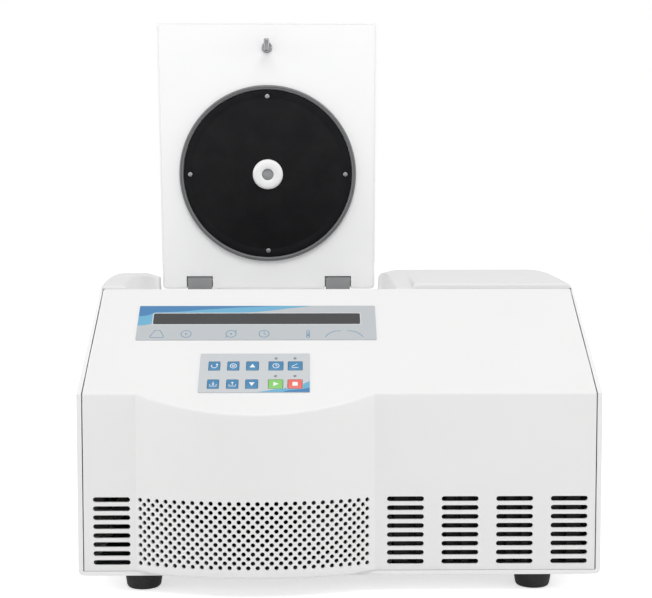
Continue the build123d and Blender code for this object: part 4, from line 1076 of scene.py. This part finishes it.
def makeRotor():
    p = rotor
    z0, z1, rim, bore = p["low"], p["top"], p["rim"], p["bore"]
    rimInner = rim - p["rimWidth"]
    hubZ = dishHeight(p["hubFlat"])
    profile = ([(bore, z0)] + shifted([(-12.5, 0), (-10.6, 0.6), (-1.2, 10.0), (-0.3, 11.2), (0, 12.6), (0, 24.6),
                                       (-0.4, 26.2), (-1.1, 28.0)], p["radius"], z0)
               + shifted([(0.6, -1.6), (-0.3, -0.4), (-1.4, 0)], rim, z1)
               + shifted([(1.0, 0), (0.2, -0.4), (0, -1.2)], rimInner, z1)
               + [(rimInner, dishHeight(rimInner)), (p["hubFlat"], hubZ), (bore + 0.6, hubZ), (bore, hubZ - 0.6)])
    body = turnedPiece("rotorBody", profile, 144, "rotor", "rotorAluminium", "rotor_aluminium", "rotor", sharp=30)
    # slanted pockets with round ends and a widened mouth
    r, deep = p["pocketRadius"], p["pocketLength"]
    pocket = [(0, -deep)] + [(r * math.sin(math.pi / 2 * j / 6), -deep + r * (1 - math.cos(math.pi / 2 * j / 6)))
                             for j in range(1, 7)]
    pocket += [(r, -0.8), (r + 0.8, 0.0), (r + 0.8, 22.0), (0, 22.0)]
    cutters = bmesh.new()
    for k in range(p["pockets"]):
        place = (Matrix.Translation((*chamberAxis, p["mouthZ"]))
                 @ Matrix.Rotation(2 * math.pi * k / p["pockets"], 4, "Z")
                 @ Matrix.Translation((p["mouthRadius"], 0, 0)) @ Matrix.Rotation(math.radians(-p["tilt"]), 4, "Y"))
        addTurned(cutters, pocket, (0, 0), 48, matrix=place)
    cutWith(body, cutters).set_sharp_from_angle(angle=math.radians(30))
    r, top = p["nutRadius"], hubZ + p["nutHeight"]
    nut = [(0, hubZ), (r - 0.8, hubZ), (r, hubZ + 0.8), (r, top - 1.4), (r - 2.2, top), (4.5, top), (4.0, top - 0.5),
           (4.0, top - 4.0), (0, top - 4.0)]
    turnedPiece("rotorNut", nut, 6, "rotor", "turnedSteel", "steel", "rotor_nut", sharp=20)
    lidTop = z1 + p["lidThickness"]
    cap = ([(0, z1)] + shifted([(-1.0, 0), (-0.2, 0.3), (0, 1.0), (-0.4, 2.0)], rim, z1) + [(rim - 12.0, lidTop)]
           + shifted([(30.0, 0), (28.0, -0.8), (18.0, -0.8), (16.0, 0), (0, 0)], 0, lidTop))
    turnedPiece("rotorLidPlate", cap, 128, "rotor_lid", "rotorAluminium", "rotor_aluminium", "rotor_lid", sharp=25)
    r, top = p["knobRadius"], lidTop + p["knobHeight"]
    knob = ([(0, lidTop)] + shifted([(-2.5, 0), (-2.5, 3.0), (-0.6, 4.0), (-0.2, 5.5)], r, lidTop)
            + shifted([(-0.2, -3.5), (-0.8, -1.6), (-2.4, -0.4), (-4.5, 0)], r, top)
            + [(4.0, top), (3.0, top - 0.8), (0, top - 0.8)])

    def knurl(angle, radius, z):
        return 0.25 * math.cos(p["ridges"] * angle) - 0.2 if radius > r - 1.0 and lidTop + 4.5 < z < top - 2 else 0.0

    turnedPiece("rotorLidKnob", knob, 180, "rotor_lid", "blackPlastic", "knob_black", "rotor_lid_knob", wobble=knurl,
                sharp=35)


makeChamber()
makeRotor()
print("chamber and rotor made")


# Feet

foot = {"x": 228.2, "shift": -0.9, "y": 230.0, "radius": 21.8, "height": 22.0}
footNames = {
    "foot_front_left": (-1, -1), "foot_rear_left": (-1, 1), "foot_front_right": (1, -1), "foot_rear_right": (1, 1),
}


def makeFeet():
    r, h = foot["radius"], foot["height"]
    profile = ([(0, 1.2), (5.0, 1.2), (6.0, 0.2), (7.0, 0.0)]
               + shifted([(-5.4, 0), (-3.8, 0.5), (-2.6, 1.6), (-1.8, 3.4), (-0.3, 13.0)], r, 0)
               + shifted([(-0.1, -2.8), (0, -2.2), (0, 0)], r, h) + [(0, h)])
    for name, (sx, sy) in footNames.items():
        turnedPiece("rubber" + joinedName(name), profile, 56, "chassis", "footRubber", "foot_rubber", name,
                    centres=[(sx * foot["x"] + foot["shift"], sy * foot["y"])])


makeFeet()
print("feet made")


# Frame pieces whose solids are right already: each has its finish and the rounding of its edges

keptNodes = {
    "outer_shell": ("casePaint", 0.8), "rear_panel": ("casePaint", 0.5), "power_inlet": ("blackPlastic", 0.6),
    "switch_frame": ("blackPlastic", 0.5), "switch_rocker": ("blackPlastic", 0.5), "fuse_holder": ("blackPlastic", 0.5),
    "lid_core": ("foamBeige", 0.8), "hinge_brackets": ("hingeSteel", 0.8), "hinge_pins": ("turnedSteel", 0.3),
    # painted shade: the base plate takes the near-black coil grey so it reads dark through the grille
    "control_board": ("boardGreen", 0.2), "chamber_insulation": ("foamBeige", 2.0), "base_plate": ("coilGreyAndPaintedShade", 0.5),
    "motor_mount_plate": ("zincSteel", 0.8), "motor_dampers": ("footRubber", 1.5), "motor": ("motorBlack", 1.2),
    "spindle": ("turnedSteel", 0.4), "lock_housing": ("blackPlastic", 0.6), "lock_bolt": ("turnedSteel", 0.3),
    "lock_solenoid": ("coilGreyAndPaintedShade", 0.8), "condenser": ("finBlackAndShade", 0.4), "fan_shroud": ("coilGreyAndPaintedShade", 0.8),
    "fan_rotor": ("blackPlastic", 0.6), "fan_motor": ("motorBlack", 0.6), "compressor": ("motorBlack", 2.0),
    "power_board": ("boardGreen", 0.2), "transformer": ("coreIron", 0.8),
}


def dressNodes():
    for name, (finishName, rounding) in keptNodes.items():
        node = cadNodes[name]
        node.data.materials.clear()
        node.data.materials.append(finishes[finishName])
        weld = node.modifiers.new("weld", "WELD")
        weld.merge_threshold = 0.00001
        flatten = node.modifiers.new("flatten", "DECIMATE")
        flatten.decimate_type = "DISSOLVE"
        flatten.angle_limit = math.radians(1)
        bevel = node.modifiers.new("bevel", "BEVEL")
        bevel.width = rounding * mm
        bevel.segments = 2
        bevel.limit_method = "ANGLE"
        bevel.angle_limit = math.radians(25)
        bevel.harden_normals = True


dressNodes()
print("frame pieces dressed")


# Stage, light and camera

stage = {"floorColour": (0.86, 0.86, 0.86), "floorLift": 0.62, "floorHalf": 9.0, "worldLight": 0.55}
lamps = {  # place and size in metres, power in watts
    "keyLight": {"place": (0.1, -1.7, 2.8), "size": (2.4, 1.4), "power": 44.5},
    "fillLight": {"place": (2.7, -0.5, 0.9), "size": (1.4, 1.4), "power": 20.0},
    "sideLight": {"place": (-2.7, -0.5, 0.9), "size": (1.4, 1.4), "power": 18.0},
}
lampTarget = (0, 0, 0.25)
camera = {  # angles in degrees, focal length in pixels of the image
    "place": (-35.85, -1784.1, 443.2), "pitch": 3.90, "yaw": 0.75, "roll": 0.02, "focal": 1342.67, "imageWidth": 652,
}


def makeWorld():
    # white to the camera and in reflections, and weaker as light
    world = bpy.data.worlds.new("softRoom")
    bpy.context.scene.world = world
    world.use_nodes = True
    tree = world.node_tree
    tree.nodes.clear()
    paths = addNode(tree, "ShaderNodeLightPath")
    either = addNode(tree, "ShaderNodeMath", {}, "MAXIMUM")
    seen = addNode(tree, "ShaderNodeMath", {}, "MAXIMUM")
    strength = addNode(tree, "ShaderNodeMapRange", {"To Min": stage["worldLight"], "To Max": 1.0})
    light = addNode(tree, "ShaderNodeBackground", {"Color": (1, 1, 1, 1)})
    output = addNode(tree, "ShaderNodeOutputWorld")
    connect(tree, (paths, "Is Glossy Ray", either, 0), (paths, "Is Transmission Ray", either, 1),
            (paths, "Is Camera Ray", seen, 0), (either, 0, seen, 1), (seen, 0, strength, "Value"),
            (strength, "Result", light, "Strength"), (light, 0, output, "Surface"))


def makeFloor():
    material, tree, shader = startMaterial("floorPale")
    pale, lift = stage["floorColour"], stage["floorLift"]
    place = addNode(tree, "ShaderNodeTexCoord")
    noise = addNode(tree, "ShaderNodeTexNoise", {"Scale": 3.0})
    shade = addNode(tree, "ShaderNodeMix", {"A": (*pale, 1), "B": (*(c * 0.985 for c in pale), 1)})
    # lifted toward white for the camera and reflections alone
    paths = addNode(tree, "ShaderNodeLightPath")
    seen = addNode(tree, "ShaderNodeMath", {}, "MAXIMUM")
    glow = addNode(tree, "ShaderNodeMix", {"A": (0, 0, 0, 1), "B": (lift, lift, lift, 1)})
    connect(tree, (place, "Object", noise, "Vector"), (noise, "Fac", shade, "Factor"),
            (shade, "Result", shader, "Base Color"), (paths, "Is Camera Ray", seen, 0),
            (paths, "Is Glossy Ray", seen, 1), (seen, 0, glow, "Factor"), (glow, "Result", shader, "Emission Color"))
    setSockets(shader, {"Roughness": 0.9, "Emission Strength": 1.0})
    half = stage["floorHalf"]
    bm = bmesh.new()
    bm.faces.new([bm.verts.new((x, y, 0)) for x, y in ((-half, -half), (half, -half), (half, half), (-half, half))])
    mesh = bpy.data.meshes.new("floor")
    bm.to_mesh(mesh)
    bm.free()
    mesh.materials.append(material)
    floor = bpy.data.objects.new("floor", mesh)
    bpy.context.scene.collection.objects.link(floor)


def addLamp(name, look):
    lamp = bpy.data.lights.new(name, "AREA")
    lamp.shape = "RECTANGLE"
    lamp.size, lamp.size_y = look["size"]
    lamp.energy = look["power"]
    holder = bpy.data.objects.new(name, lamp)
    bpy.context.scene.collection.objects.link(holder)
    holder.location = look["place"]
    holder.rotation_euler = (Vector(lampTarget) - Vector(look["place"])).to_track_quat("-Z", "Y").to_euler()


def makeCamera():
    data = bpy.data.cameras.new("camera")
    data.sensor_width = 36.0
    data.lens = camera["focal"] * data.sensor_width / camera["imageWidth"]
    data.clip_start, data.clip_end = 0.05, 60
    holder = bpy.data.objects.new("camera", data)
    bpy.context.scene.collection.objects.link(holder)
    holder.location = Vector(camera["place"]) * mm
    holder.rotation_euler = [math.radians(a) for a in (90 - camera["pitch"], camera["roll"], -camera["yaw"])]
    bpy.context.scene.camera = holder


makeWorld()
makeFloor()
for lampName, lampLook in lamps.items():
    addLamp(lampName, lampLook)
makeCamera()
bpy.context.scene.view_settings.view_transform = "Standard"
print("stage, light and camera made")
